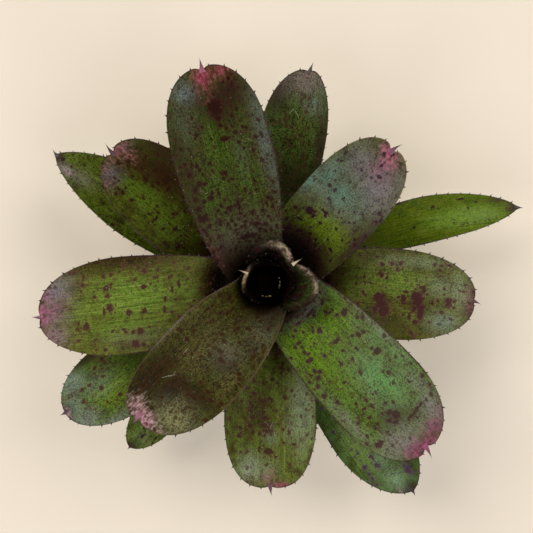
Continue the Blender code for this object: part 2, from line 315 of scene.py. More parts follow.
class Growth(Enum):
    """How far a leaf has opened."""

    OPEN = "open"
    CUP = "cup"
    HEART = "heart"


class Slot(Enum):
    """Order of the materials on a leaf."""

    UPPER = 0
    UNDER = 1
    TOOTH = 2
    SPINE = 3
    LINT = 4


@dataclass(frozen=True)
class Nesting:
    """How the leaves sit on the stem and wrap one another, from the heart outwards."""

    stem_height: float = 44.4
    stem_foot_radius: float = 13.0
    stem_top_radius: float = 5.6
    seat_gap: float = 0.4
    root_top: float = 40.8
    root_step: float = 2.2
    root_slope: float = 8.0
    root_slope_step: float = 0.2
    root_arm: float = 0.85
    neck_arm: float = 0.5
    neck_radius_heart: float = 7.8
    neck_radius_step: float = 2.3
    neck_top: float = 77.0
    neck_step: float = 3.35
    neck_slope: float = 88.0
    neck_slope_step: float = 2.4
    blade_start_arm: float = 0.26
    blade_end_arm: float = 0.34
    root_half_width: float = 8.0
    sheath_half_width: float = 29.0
    sheath_belly: float = 0.6
    wrap_limit: float = 1.7
    widest_from_tip: float = 48.0
    neck_reach: float = 8.0
    neck_blend: float = 24.0
    rolled_neck_share: float = 0.5
    lip_power: float = 1.5
    unroll_length: float = 40.0
    channel_depth: float = 4.0
    tip_bend: float = 2.2
    sheath_thickness: float = 0.72
    blade_thickness: float = 1.3
    curve_samples: int = 240

    def stem_radius(self, height: float) -> float:
        """Radius of the stem's cone at a height."""
        return mix(self.stem_foot_radius, self.stem_top_radius, height / self.stem_height)


@dataclass(frozen=True)
class Relief:
    """Living relief of a blade: faint ribs, gentle swellings and a waved margin, in millimetres."""

    rib_height: float = 0.05
    rib_pitch: float = 3.1
    rib_sway: float = 0.6
    rib_sway_length: float = 19.0
    swell_height: float = 0.19
    swell_length: float = 11.0
    swell_width: float = 9.0
    slant: float = 0.6
    slant_length: float = 23.0
    slant_width: float = 14.0
    wave_height: float = 0.27
    wave_length: float = 7.5
    wave_depth: float = 9.0

    def height(self, s: Array, across: Array, margin: Array, seed: float) -> Array:
        """Height of the relief.

        Args:
            s: Lengths along the leaf.
            across: Distances from the midline.
            margin: Distances from the margin.
            seed: The leaf's own shift of the pattern.

        Returns:
            The height at each place.
        """
        sway = self.rib_sway * np.sin(s / self.rib_sway_length + seed)
        ribs = self.rib_height * np.sin(2 * math.pi * across / self.rib_pitch + sway)
        swell = (np.sin(s / self.swell_length + seed) * np.sin(across / self.swell_width + 2 * seed)
                 + self.slant * np.sin(s / self.slant_length + across / self.slant_width + seed))
        near = smooth_step(1.0 - margin / self.wave_depth)
        wave = np.sin(s / self.wave_length + 3 * seed + 2 * np.sign(across)) * near
        return ribs + self.swell_height * swell + self.wave_height * wave


@dataclass(frozen=True)
class Markings:
    """Where a leaf's blots, freckled parts, dusky haze with painted shade, bloom, cool bloom with a painted
    reflection of the sky, bright lime and pink flush lie.

    The coloured margin fades out at edge_reach from the tip.
    """

    blots: tuple[Oval, ...] = ()
    freckled: tuple[Oval, ...] = ()
    dusk_and_shade: tuple[Oval, ...] = ()
    bloom: tuple[Oval, ...] = ()
    cool_film_and_reflection: tuple[Oval, ...] = ()
    lime: tuple[Oval, ...] = ()
    flush: tuple[Oval, ...] = ()
    edge_reach: float = 1000.0

    def cover(self, kind: str, from_tip: Array, across: Array) -> Array:
        """Strength of one kind of marking at places on the leaf.

        Args:
            kind: The name of its field.
            from_tip: Distance of each place from the tip.
            across: Distance of each place from the midline.

        Returns:
            For blots 0.5 on an outline and more inside it, and else a strength that fades out softly.
        """
        total = np.zeros(np.shape(from_tip))
        for middle, side, half_length, half_width, *strength in getattr(self, kind):
            distance = np.hypot((from_tip - middle) / half_length, (across - side) / half_width)
            if kind == "blots":
                near = 1.0 - 0.5 * distance
            else:
                near = (strength or [1.0])[0] * np.exp(-distance ** 2)
            total = np.maximum(total, near)
        return np.clip(total, 0.0, 1.0 if kind == "blots" else STRONGEST)


@dataclass(frozen=True)
class LeafPlan:
    """One leaf's own sizes: where its tip lies, and how its blade is shaped."""

    name: str
    rank: int
    bearing: float
    reach: float
    tip_height: float
    root_bearing: float
    width: float
    neck_share: float = 0.85
    tip_length: float = 38.0
    tip_power: float = 2.3
    tip_shift: float = 0.0
    tip_slope: float = 0.0
    bow: float = 0.0
    spine_turn: float = -12.0
    spine_length: float = 4.6
    spine_lean: float = 0.0
    spine_width: float = 4.0
    notch: float = 1.2
    growth: Growth = Growth.OPEN
    lobes: tuple[float, float] = (0.0, 0.0)
    lip_roll: float = 0.0
    lip_reach: float = 6.0

    @property
    def rolled(self) -> bool:
        """Whether the leaf is still rolled into the cup."""
        return self.growth is not Growth.OPEN


class LeafForm:
    """The curved middle surface of a leaf, addressed by length s and by place across."""

    def __init__(self, plan: LeafPlan, nesting: Nesting) -> None:
        """Lay out the midrib of a leaf and the frames along it.

        Args:
            plan: The leaf's own sizes.
            nesting: How it sits among the others.
        """
        self.plan = plan
        self.nesting = nesting
        self.trace_midrib()
        self.set_frames()

    def trace_midrib(self) -> None:
        """Lay the midrib from its root on the stem, up the sheath to the neck, and out to the tip."""
        plan, nest = self.plan, self.nesting
        root_height = nest.root_top - nest.root_step * plan.rank
        root_radius = nest.stem_radius(root_height) + nest.seat_gap + nest.sheath_thickness / 2
        root = np.array([root_radius, root_height])
        neck = np.array([nest.neck_radius_heart + nest.neck_radius_step * plan.rank,
                         nest.neck_top - nest.neck_step * plan.rank])
        if plan.rolled:
            neck[1] = mix(root[1], plan.tip_height, nest.rolled_neck_share)
        neck_way = direction(nest.neck_slope - nest.neck_slope_step * plan.rank)
        root_way = direction(nest.root_slope - nest.root_slope_step * plan.rank)
        rise = np.linalg.norm(neck - root)
        swell = root + root_way * (neck[0] - root[0]) * nest.root_arm
        sheath = bezier(root, swell, neck - neck_way * rise * nest.neck_arm, neck, nest.curve_samples)

        neck_place = neck[0] * direction(plan.root_bearing)
        if plan.rolled:
            ahead, span = direction(plan.bearing), plan.reach - neck[0]
        else:
            chord = plan.reach * direction(plan.bearing) - neck_place
            span = np.linalg.norm(chord)
            ahead = chord / span
        self.aside = np.array([-ahead[1], ahead[0]])
        start = np.array([0.0, neck[1]])
        end = np.array([span, plan.tip_height])
        length = np.linalg.norm(end - start)
        arm_one = start + neck_way * length * nest.blade_start_arm
        arm_two = end - direction(plan.tip_slope) * length * nest.blade_end_arm
        blade = bezier(start, arm_one, arm_two, end, nest.curve_samples)[1:]
        sway = plan.bow * np.sin(math.pi * np.linspace(0.0, 1.0, len(blade)))[:, None]
        place = np.vstack([sheath[:, :1] * direction(plan.root_bearing),
                           neck_place + blade[:, :1] * ahead + sway * self.aside])
        self.midrib = np.column_stack([place, np.concatenate([sheath[:, 1], blade[:, 1]])])
        steps = np.linalg.norm(np.diff(self.midrib, axis=0), axis=1)
        self.along = np.concatenate([[0.0], np.cumsum(steps)])
        self.neck = self.along[nest.curve_samples - 1]
        self.length = self.along[-1]
        self.neck_radius = neck[0]

    def set_frames(self) -> None:
        """Set the direction across the leaf and the one that its upper face looks in."""
        nest = self.nesting
        tangent = unit(np.gradient(self.midrib, self.along, axis=0))
        root_way = direction(self.plan.root_bearing)
        round_stem = np.array([-root_way[1], root_way[0], 0.0])
        across_blade = np.array([self.aside[0], self.aside[1], 0.0])
        share = smooth_step((self.along - self.neck + nest.neck_reach) / nest.neck_blend)[:, None]
        across = mix(round_stem, across_blade, share)
        across = across - (across * tangent).sum(axis=1, keepdims=True) * tangent
        self.across = unit(across)
        self.upward = np.cross(tangent, self.across)

    def outness(self, s: Array) -> Array:
        """Share of the way from the neck to the tip."""
        return np.clip((s - self.neck) / (self.length - self.neck), 0.0, 1.0)

    def half_width(self, s: Array) -> Array:
        """Half the leaf's width before the tip rounds it off.

        Args:
            s: Lengths along the leaf.

        Returns:
            The half width at each.
        """
        plan, nest = self.plan, self.nesting
        blade = plan.width / 2
        sheath = min(nest.sheath_half_width, blade) if plan.rolled else nest.sheath_half_width
        belly = self.neck * nest.sheath_belly
        widest = self.length - nest.widest_from_tip
        lower = mix(nest.root_half_width, sheath, smooth_step(s / belly))
        narrowing = smooth_step((s - belly) / (self.neck + nest.neck_reach - belly))
        upper = mix(blade * plan.neck_share, blade, smooth_step((s - self.neck) / (widest - self.neck)))
        if plan.rolled:
            upper = blade
        middle = look_up(s, self.along, self.midrib)
        round_limit = nest.wrap_limit * np.hypot(middle[..., 0], middle[..., 1])
        return np.minimum(mix(lower, upper, narrowing), round_limit)

    def tip_drop(self, place: Array) -> Array:
        """How far short of the tip the margin lies.

        Args:
            place: Places across the leaf.

        Returns:
            The distance at each, in millimetres.
        """
        plan = self.plan
        rounding = plan.tip_length * (1.0 - np.sqrt(1.0 - np.abs(place) ** plan.tip_power))
        return rounding + plan.notch * np.exp(-(np.asarray(place) * plan.width / 2 / NOTCH_HALF_WIDTH) ** 2)

    def length_at(self, s: Array, place: Array) -> Array:
        """Length along the leaf of a row s, which bends with the rounded tip as it nears it.

        Args:
            s: Lengths of the rows at the midline.
            place: Places across the leaf.

        Returns:
            The length at each place.
        """
        reach = min(self.nesting.tip_bend * self.plan.tip_length, self.length - self.neck)
        share = smooth_step((s - (self.length - reach)) / reach)
        return s - self.tip_drop(place) * share

    def points(self, s: Array, place: Array) -> Array:
        """Points of the middle surface.

        Args:
            s: Lengths along the leaf.
            place: Places across it.

        Returns:
            The points, in millimetres.
        """
        plan, nest = self.plan, self.nesting
        s, place = np.broadcast_arrays(np.asarray(s, float), np.asarray(place, float))
        middle = look_up(s, self.along, self.midrib)
        shift = plan.tip_shift * smooth_step(self.outness(s))
        sideways = (shift + place * (1.0 - np.sign(place) * shift)) * self.half_width(s)
        turn = sideways / np.hypot(middle[..., 0], middle[..., 1])
        lip = smooth_step(self.outness(s)) ** nest.lip_power
        lobe = np.where(place < 0.0, *plan.lobes)
        bulge = 1.0 + lobe / plan.reach * lip * np.sin(math.pi * np.abs(place)) ** 2
        rolled = np.stack([bulge * (middle[..., 0] * np.cos(turn) - middle[..., 1] * np.sin(turn)),
                           bulge * (middle[..., 0] * np.sin(turn) + middle[..., 1] * np.cos(turn)),
                           middle[..., 2]], axis=-1)
        if plan.rolled:
            return rolled
        opening = smooth_step((s - self.neck) / nest.unroll_length)
        # An arc as deep as the channel bends with 8 * depth / width ** 2
        bend = mix(1.0 / self.neck_radius, 8.0 * nest.channel_depth / plan.width ** 2, opening)
        run = np.sin(bend * sideways) / bend
        lift = (1.0 - np.cos(bend * sideways)) / bend
        across, upward = (look_up(s, self.along, table) for table in (self.across, self.upward))
        blade = middle + across * run[..., None] + upward * lift[..., None]
        share = smooth_step((s - self.neck + nest.neck_reach) / nest.neck_blend)[..., None]
        return mix(rolled, blade, share)

    def frame_at(self, s: Array, place: Array) -> tuple[Array, Array, Array]:
        """Unit directions along the leaf, across it and out of its upper face.

        Args:
            s: Lengths along the leaf.
            place: Places across it.

        Returns:
            The three directions at each place.
        """
        inner = np.clip(place, 2 * PLACE_STEP - 1, 1 - 2 * PLACE_STEP)
        along = self.points(s + LENGTH_STEP, inner) - self.points(s - LENGTH_STEP, inner)
        across = self.points(s, inner + PLACE_STEP) - self.points(s, inner - PLACE_STEP)
        return unit(along), unit(across), unit(np.cross(along, across))

    def margin(self, s: Array, place: Array) -> Array:
        """Distance to the margin, at the sides or round the tip."""
        beyond = self.length - s - self.tip_drop(place)
        return np.minimum((1.0 - np.abs(place)) * self.half_width(s), np.maximum(beyond, 0.0))

    def surface(self, s: Array, place: Array) -> Array:
        """Points of the living surface: faint ribs, gentle swellings, a waved margin and a rolled lip.

        Args:
            s: Lengths along the leaf.
            place: Places across it.

        Returns:
            The points, in millimetres.
        """
        along, _, up = self.frame_at(s, place)
        margin = self.margin(s, place)
        free = smooth_step((s - self.neck) / self.nesting.unroll_length)
        relief = free * Relief().height(s, place * self.half_width(s), margin, self.plan.rank * RANK_SHIFT)
        turn = LIP_TURN * smooth_step(1.0 - margin / self.plan.lip_reach)
        roll = self.plan.lip_roll * np.stack([1.0 - np.cos(turn), np.sin(turn)], axis=-1) / 2
        return self.points(s, place) + up * (relief - roll[..., 0])[..., None] - along * roll[..., 1:]


@dataclass(frozen=True)
class LeafSkin:
    """Upper skin of a leaf: waxy cuticle over green tissue, with maroon pigment, a film of scales, painted
    shade and a painted reflection of the sky.
    """

    # Living cuticle gives the eye a soft satin over mottled green, duller where scales film it; the bluish
    # film is partly scales and partly a painted reflection of the sky
    name: str
    green: str = "#4d5c26"
    lime: str = "#5b7420"
    shade: str = "#3e421c"
    dusk_and_shade: str = "#2c1a15"
    bloom: str = "#6c6763"
    cool_film_and_reflection: str = "#5b706c"
    flush: str = "#93566a"
    mauve: str = "#5c3440"
    pale: str = "#b29a96"
    blot: str = "#32131a"
    margin: str = "#331822"
    line: str = "#7c8f48"
    pit_shade: str = "#0c0705"
    dust: str = "#a9ab98"
    sheen: str = "#fff3cf"
    freckles: float = 0.5
    spots: float = 0.3
    stripes: float = 0.25
    stipple: float = 0.15
    frost: float = 0.5
    grit: float = 1.0
    gloss: float = 0.13
    seed: float = 0.0

    def material(self) -> bpy.types.Material:
        """Make the skin."""
        return SkinLayers(self).build()


class SkinLayers:
    """The layers of one leaf's skin, from the green tissue out to the dust on it."""

    def __init__(self, skin: LeafSkin) -> None:
        """Read the leaf's own map and markings, and lay out the grains that the layers share.

        Args:
            skin: The colours and strengths of the layers.
        """
        self.skin = skin
        self.material, self.add = start_material(skin.name)
        self.place = self.add("UVMap", uv_map=LEAF_UV)
        self.lime, self.bloom, self.flush, self.freckled = self.channels("tone")
        # The marks hold blots, dusky haze with painted shade, the distance to the margin, and a cool film of
        # scales with a painted reflection of the sky
        self.blots, self.dusk_and_shade, self.edge, self.cool_film_and_reflection = self.channels("mark")
        # Veins stand about 0.8 mm apart; scales and cell clumps are drawn as coarse as they need to show
        self.vein = self.grain(0.8, 45, 3.0)
        self.stripe = self.grain(1.6, 70, 2.0)
        self.mottle = self.grain(6, 8, 4.0)
        self.powder = self.grain(0.8, 1.0, 3.0)
        self.streak = self.grain(1.2, 4, 3.0)
        self.crumb = self.grain(2.1, 2.8, 4.0)

    def channels(self, name: str) -> tuple[Socket, ...]:
        """Read a named attribute of the mesh.

        Args:
            name: Its name.

        Returns:
            The four values that it holds.
        """
        source = self.add("Attribute", out=None, attribute_name=name)
        parts = self.add("SeparateColor", source.outputs["Color"], out=None)
        return (*parts.outputs[:3], source.outputs["Alpha"])

    def grain(self, across: float, along: float, detail: float) -> Socket:
        """Noise that lies on the leaf.

        Args:
            across: Size of a feature across the leaf, in millimetres.
            along: Its size along the leaf.
            detail: How many finer noises it holds.

        Returns:
            The noise, from 0 to 1.
        """
        seed = self.skin.seed
        spot = self.add("Mapping", {"Vector": self.place, "Location": (seed, 3 * seed, 0),
                                    "Scale": (1 / across, 1 / along, 1)})
        noise = {"Vector": spot, "Scale": 1.0, "Detail": detail, "Roughness": 0.6}
        return self.add("TexNoise", noise, **FLAT)

    def level(self, value: Socket, *noises: tuple[Socket, float]) -> Socket:
        """Raise and lower a value by noises.

        Args:
            value: The value.
            noises: Each noise with its strength.

        Returns:
            The uneven value.
        """
        for noise, strength in noises:
            value = self.add("Math", noise, strength, value, **RAISED)
            value = self.add("Math", value, strength / 2, operation="SUBTRACT")
        return value

    def build(self) -> bpy.types.Material:
        """Lay the layers over one another, from the tissue outwards.

        Returns:
            The material.
        """
        self.grow_tissue()
        self.lay_haze_and_shade()
        self.place_pigment()
        self.lay_blush()
        self.lay_spots()
        self.lay_film()
        self.draw_margin()
        self.sprinkle_dust()
        # Fine relief: veins, a pebbled skin, and pigment that sits a little proud
        pebbled = self.add("Math", self.powder, 0.45, self.vein, **RAISED)
        height = self.add("Math", self.pigment, 0.15, pebbled, **RAISED)
        rough = self.add("MapRange", {0: self.filmed, 3: 0.42, 4: 0.56})
        return finish_material(self.material, self.colour, rough, (height, 0.4, 0.25), IOR=1.42,
                               Specular_IOR_Level=self.skin.gloss, Specular_Tint=self.skin.sheen)

    def grow_tissue(self) -> None:
        """Green tissue: shade to green by mottling, lime where it is bright, with fine lengthwise lines."""
        add, skin = self.add, self.skin
        patchy = add("MapRange", self.mottle, 0.32, 0.62)
        base = add("Mix", {0: patchy, 6: skin.shade, 7: skin.green}, **COLOUR)
        bright = self.level(self.lime, (self.mottle, 0.7), (self.vein, 0.3))
        glow = add("MapRange", bright, 0.1, 0.85, **SMOOTH)
        lively = add("Mix", {0: glow, 6: base, 7: skin.lime}, **COLOUR)
        line = add("MapRange", self.stripe, 0.5, 0.72, 0.0, skin.stripes, **SMOOTH)
        faded = add("Math", line, glow, **PRODUCT)
        striped = add("Mix", {0: faded, 6: lively, 7: skin.line}, **COLOUR)
        light = add("MapRange", self.vein, 0.3, 0.7, 0.76, 1.22)
        for noise, strength in ((self.powder, 0.5), (self.crumb, 0.34)):
            rise = strength * skin.grit
            grit = add("MapRange", noise, *CONTRAST, 1 - rise, 1 + rise)
            light = add("Math", light, grit, **PRODUCT)
        self.colour = add("VectorMath", {0: striped, "Scale": light}, **SCALED)

    def lay_haze_and_shade(self) -> None:
        """Dusky maroon haze and stipple, in fine grains, with painted shade that turns near black where it is
        deep, in the cup and at the leaves' bases.
        """
        level = self.level(self.dusk_and_shade, (self.mottle, 0.5), (self.powder, 2.4), (self.crumb, 1.4))
        level = self.add("Math", level, self.skin.stipple, operation="ADD")
        cover = self.add("MapRange", level, 0.3, 0.72, 0.0, 0.92, **SMOOTH)
        hazed = self.add("Mix", {0: cover, 6: self.colour, 7: self.skin.dusk_and_shade}, **COLOUR)
        # Painted shade: where the level is deep, in the cup and at the leaves' bases, the colour turns near
        # black
        depth = self.add("MapRange", level, 0.85, 1.35)
        self.colour = self.add("Mix", {0: depth, 6: hazed, 7: self.skin.pit_shade}, **COLOUR)

    def place_pigment(self) -> None:
        """Cover of maroon pigment: freckles and spots in clusters, and the leaf's own larger blots."""
        add, skin = self.add, self.skin
        # Outlines are ragged: a noise of 1.7 mm pushes them by up to a millimetre or so
        waver = add("TexNoise", {"Vector": self.place, "Scale": 1 / 1.7, "Detail": 3.0, "Roughness": 0.65},
                    out=None, **FLAT)
        centred = add("VectorMath", waver.outputs["Color"], (0.5, 0.5, 0.5), operation="SUBTRACT")
        pushed = add("VectorMath", centred, (2.2, 2.6, 0.0), self.place, **RAISED)
        crowd = self.level(self.freckled, (self.grain(9, 12, 2.0), 2.0))
        ragged = add("Math", waver.outputs[0], 0.75, self.blots, **RAISED)
        total = add("MapRange", ragged, 0.76, 1.08, 0.0, 1.0, **SMOOTH)
        # Spacing across and along in millimetres, share of cells with a spot, its size and its cover
        layers = ((1.6, 1.9, skin.freckles, 0.54, 0.8), (3.3, 4.0, skin.spots, 0.49, 0.96),
                  (7.0, 8.5, skin.spots / 2, 0.33, 1.0))
        for across, along, share, size, depth in layers:
            cell = add("Mapping", {"Vector": pushed, "Location": (skin.seed * across, 0, 0),
                                   "Scale": (1 / across, 1 / along, 1)})
            spots = add("TexVoronoi", {"Vector": cell, "Scale": 1.0}, out=None, voronoi_dimensions="2D")
            chance = add("SeparateColor", spots.outputs["Color"])
            raised = add("Math", crowd, 0.4, chance, **RAISED)
            radius = add("MapRange", raised, 1 - share, 1.05, 0.0, size)
            depth_in = add("Math", radius, spots.outputs["Distance"], operation="SUBTRACT")
            cover = add("MapRange", depth_in, 0.0, 0.27, 0.0, depth, **SMOOTH)
            total = add("Math", total, cover, operation="MAXIMUM")
        self.pigment = total

    def lay_blush(self) -> None:
        """Pink flush of the tip, mottled, and streaked along the veins."""
        add, skin = self.add, self.skin
        level = self.level(self.flush, (self.powder, 0.35), (self.crumb, 0.8), (self.streak, 0.3))
        depth = add("MapRange", level, 0.5, 1.15)
        pink = add("Mix", {0: depth, 6: skin.mauve, 7: skin.flush}, **COLOUR)
        light = add("MapRange", self.streak, 0.35, 0.65, 0.84, 1.14)
        clod = add("MapRange", self.crumb, *CONTRAST, 0.66, 1.2)
        shaded = add("Math", light, clod, **PRODUCT)
        deep = add("VectorMath", {0: pink, "Scale": shaded}, **SCALED)
        pale = add("Math", self.streak, self.crumb, **PRODUCT)
        frost = add("MapRange", pale, 0.2, 0.38, 0.0, skin.frost)
        streaked = add("Mix", {0: frost, 6: deep, 7: skin.pale}, **COLOUR)
        cover = add("MapRange", level, 0.05, 0.95, 0.0, 0.92, **SMOOTH)
        self.colour = add("Mix", {0: cover, 6: self.colour, 7: streaked}, **COLOUR)

    def lay_spots(self) -> None:
        """Lay the pigment on, darkest in the middle of a spot."""
        core = self.add("MapRange", self.pigment, 0.4, 0.95, 1.15, 0.5)
        maroon = self.add("VectorMath", {0: linear(self.skin.blot)[:3], "Scale": core}, **SCALED)
        self.colour = self.add("Mix", {0: self.pigment, 6: self.colour, 7: maroon}, **COLOUR)

    def lay_film(self) -> None:
        """Silver bloom of absorbing scales, finely grained and thin over the pigment; the cool bloom is
        partly a painted reflection of the sky.
        """
        add, skin = self.add, self.skin
        tint = add("Mix", {0: self.cool_film_and_reflection, 6: skin.bloom, 7: skin.cool_film_and_reflection}, **COLOUR)
        both = add("Math", self.cool_film_and_reflection, self.bloom, operation="MAXIMUM")
        grit = add("MapRange", self.powder, *CONTRAST, 0.4, 1.2)
        patchy = add("MapRange", self.mottle, 0.3, 0.65, 0.6, 1.05)
        grained = add("Math", grit, patchy, **PRODUCT)
        self.filmed = add("Math", both, grained, use_clamp=True, **PRODUCT)
        seen = add("MapRange", {0: self.pigment, 3: 0.9, 4: 0.2})
        share = add("Math", self.filmed, seen, **PRODUCT)
        self.colour = add("Mix", {0: share, 6: self.colour, 7: tint}, **COLOUR)

    def draw_margin(self) -> None:
        """Thin coloured margin, 0.4 to 1.5 mm wide."""
        reach = self.add("MapRange", self.mottle, 0.35, 0.65, 0.4 / EDGE_BAND, 1.5 / EDGE_BAND)
        cover = self.add("MapRange", self.edge, reach, 0.0, 0.0, 0.9, **SMOOTH)
        self.colour = self.add("Mix", {0: cover, 6: self.colour, 7: self.skin.margin}, **COLOUR)

    def sprinkle_dust(self) -> None:
        """Stray pale scales, a fifth of a millimetre across."""
        add = self.add
        cell = add("TexVoronoi", {"Vector": self.place, "Scale": 1 / 1.7}, out=None, voronoi_dimensions="2D")
        chance = add("SeparateColor", cell.outputs["Color"], out=1)
        radius = add("MapRange", chance, 0.9, 1.0, 0.0, 0.16)
        cover = add("Math", cell.outputs["Distance"], radius, operation="LESS_THAN")
        share = add("Math", cover, 0.4, **PRODUCT)
        self.colour = add("Mix", {0: share, 6: self.colour, 7: self.skin.dust}, **COLOUR)


@dataclass(frozen=True)
class LeafBack:
    """Underside of a leaf: duller green with maroon clouds and fine silver cross-bands of scales."""

    name: str = "leaf_underside_scaly"
    green: str = "#76844c"
    maroon: str = "#5e3c44"
    silver: str = "#adb3a4"
    gloss: float = 0.25

    def material(self) -> bpy.types.Material:
        """Make the underside, with clouds 8 mm wide, veins 0.7 mm apart and bands of 1.4 mm.

        Returns:
            The material.
        """
        material, add = start_material(self.name)
        place = add("UVMap", uv_map=LEAF_UV)
        cloud = add("TexNoise", {"Vector": place, "Scale": 1 / 8, "Detail": 4.0}, **FLAT)
        veins = add("Mapping", {"Vector": place, "Scale": (1 / 0.7, 1 / 40, 1)})
        vein = add("TexNoise", {"Vector": veins, "Scale": 1.0, "Detail": 2.0}, **FLAT)
        bands = add("Mapping", {"Vector": place, "Scale": (1 / 9, 1 / 1.4, 1)})
        band = add("TexNoise", {"Vector": bands, "Scale": 1.0, "Detail": 2.0}, **FLAT)
        purple = add("MapRange", cloud, 0.46, 0.66, 0.0, 0.85, **SMOOTH)
        tissue = add("Mix", {0: purple, 6: self.green, 7: self.maroon}, **COLOUR)
        scales = add("MapRange", band, 0.45, 0.7, 0.1, 0.6)
        coated = add("Mix", {0: scales, 6: tissue, 7: self.silver}, **COLOUR)
        fine = add("MapRange", vein, 0.3, 0.7, 0.85, 1.1)
        lined = add("VectorMath", {0: coated, "Scale": fine}, **SCALED)
        # A scaly back is matte beside the waxy upper side
        return finish_material(material, lined, 0.55, (vein, 0.4, 0.25), IOR=1.42,
                               Specular_IOR_Level=self.gloss)


@dataclass(frozen=True)
class ThornHorn:
    """Horny tissue of the teeth and the end spine: it darkens towards the point, and is slightly glossy."""

    name: str = "thorn_horn_maroon"
    root: str = "#4a2631"
    point: str = "#170b0f"
    fade: float = 2.0

    def material(self) -> bpy.types.Material:
        """Make the horn, which reads its height from the leaf's own map.

        Returns:
            The material.
        """
        material, add = start_material(self.name)
        place = add("UVMap", uv_map=LEAF_UV)
        height = add("SeparateXYZ", place, out=1)
        speckle = add("TexNoise", {"Vector": place, "Scale": 2.0, "Detail": 2.0}, **FLAT)
        broken = add("Math", speckle, 0.8, height, **RAISED)
        share = add("MapRange", broken, 0.4, 0.4 - self.fade)
        colour = add("Mix", {0: share, 6: self.root, 7: self.point}, **COLOUR)
        # Hard, dense horn keeps a small sharp glint
        return finish_material(material, colour, 0.4, IOR=1.5)


@dataclass(frozen=True)
class LintFibre:
    """Pale fibre of lint that has blown onto a leaf, slightly uneven in tone."""

    name: str = "lint_fibre_pale"
    pale: str = "#c9c4ae"
    dull: str = "#8f8c78"

    def material(self) -> bpy.types.Material:
        """Make the fibre, uneven every 1.4 mm.

        Returns:
            The material.
        """
        material, add = start_material(self.name)
        uneven = add("TexNoise", {"Vector": add("TexCoord", out="Object"), "Scale": 700.0, "Detail": 2.0})
        share = add("MapRange", uneven, 0.35, 0.65)
        # Fluff scatters light, so it has no gloss
        return finish_material(material, add("Mix", {0: share, 6: self.dull, 7: self.pale}, **COLOUR), 0.8)


@dataclass(frozen=True)
class StemRind:
    """Dry rind of a short stem: brown fibre that runs upwards, ringed and cracked."""

    name: str = "stem_rind_dry"
    pale: str = "#8a6f4e"
    dark: str = "#3c2a1c"

    def material(self) -> bpy.types.Material:
        """Make the rind, with fibres 1.1 mm apart and 7 mm long, and clouds of 6 mm.

        Returns:
            The material.
        """
        material, add = start_material(self.name)
        place = add("TexCoord", out="Object")
        stretched = add("Mapping", {"Vector": place, "Scale": (900, 900, 140)})
        fibre = add("TexNoise", {"Vector": stretched, "Scale": 1.0, "Detail": 4.0})
        cloud = add("TexNoise", {"Vector": place, "Scale": 160.0, "Detail": 4.0})
        both = add("Math", fibre, cloud, **PRODUCT)
        share = add("MapRange", both, 0.14, 0.36)
        colour = add("Mix", {0: share, 6: self.dark, 7: self.pale}, **COLOUR)
        # Dead fibre is rough and dull
        return finish_material(material, colour, 0.8, (fibre, 0.7, 0.5))


@dataclass(frozen=True)
class StemPith:
    """Cut foot of the stem: pale damp pith with darker bundles and a brown rim."""

    name: str = "stem_pith_cut"
    pith: str = "#b39a6c"
    bundle: str = "#6f5232"
    rim: float = 11.0

    def material(self) -> bpy.types.Material:
        """Make the cut face, with bundles 1.1 mm apart, from the distance to the stem's axis.

        Returns:
            The material.
        """
        material, add = start_material(self.name)
        place = add("TexCoord", out="Object")
        bundles = add("TexVoronoi", {"Vector": place, "Scale": 900.0}, out="Distance")
        dots = add("MapRange", bundles, 0.35, 0.15, 0.0, 0.8)
        length = add("VectorMath", place, operation="LENGTH", out="Value")
        rim = add("MapRange", length, self.rim * MM, (self.rim + 1.2) * MM)
        dark = add("Math", dots, rim, operation="MAXIMUM")
        # Damp pith is a little smoother than the rind
        return finish_material(material, add("Mix", {0: dark, 6: self.pith, 7: self.bundle}, **COLOUR), 0.7)


@dataclass(frozen=True)
class PaleGround:
    """Plain pale surface to stand the plant on."""

    name: str = "ground_pale_matte"
    colour: str = "#e6dccc"
    shade: str = "#e0d5c3"

    def material(self) -> bpy.types.Material:
        """Make the surface, with the faintest cloudiness.

        Returns:
            The material.
        """
        material, add = start_material(self.name)
        cloud = add("TexNoise", {"Vector": add("TexCoord", out="Object"), "Scale": 6.0, "Detail": 3.0})
        # Matte, so that it shows no reflection of the plant
        return finish_material(material, add("Mix", {0: cloud, 6: self.shade, 7: self.colour}, **COLOUR), 0.8)


def cut_rings(name: str, cuts: int) -> Object:
    """Cut the newest primitive, which stands from 0 to 1, into rings.

    Args:
        name: Its new name.
        cuts: How many cuts it gets.

    Returns:
        The object.
    """
    item = bpy.context.object
    bpy.ops.object.transform_apply(location=True, rotation=True, scale=True)
    bpy.ops.object.mode_set(mode="EDIT")
    for cut in range(1, cuts + 1):
        bpy.ops.mesh.select_all(action="SELECT")
        bpy.ops.mesh.bisect(plane_co=(0, 0, cut / (cuts + 1)), plane_no=(0, 0, 1))
    bpy.ops.object.mode_set(mode="OBJECT")
    item.name = name
    return item


def set_slot(item: Object, slot: Slot) -> None:
    """Give all faces of a piece one of a leaf's materials.

    Args:
        item: The piece.
        slot: The material's place in the leaf's order.
    """
    for _ in Slot:
        item.data.materials.append(None)
    item.data.polygons.foreach_set("material_index", [slot.value] * len(item.data.polygons))


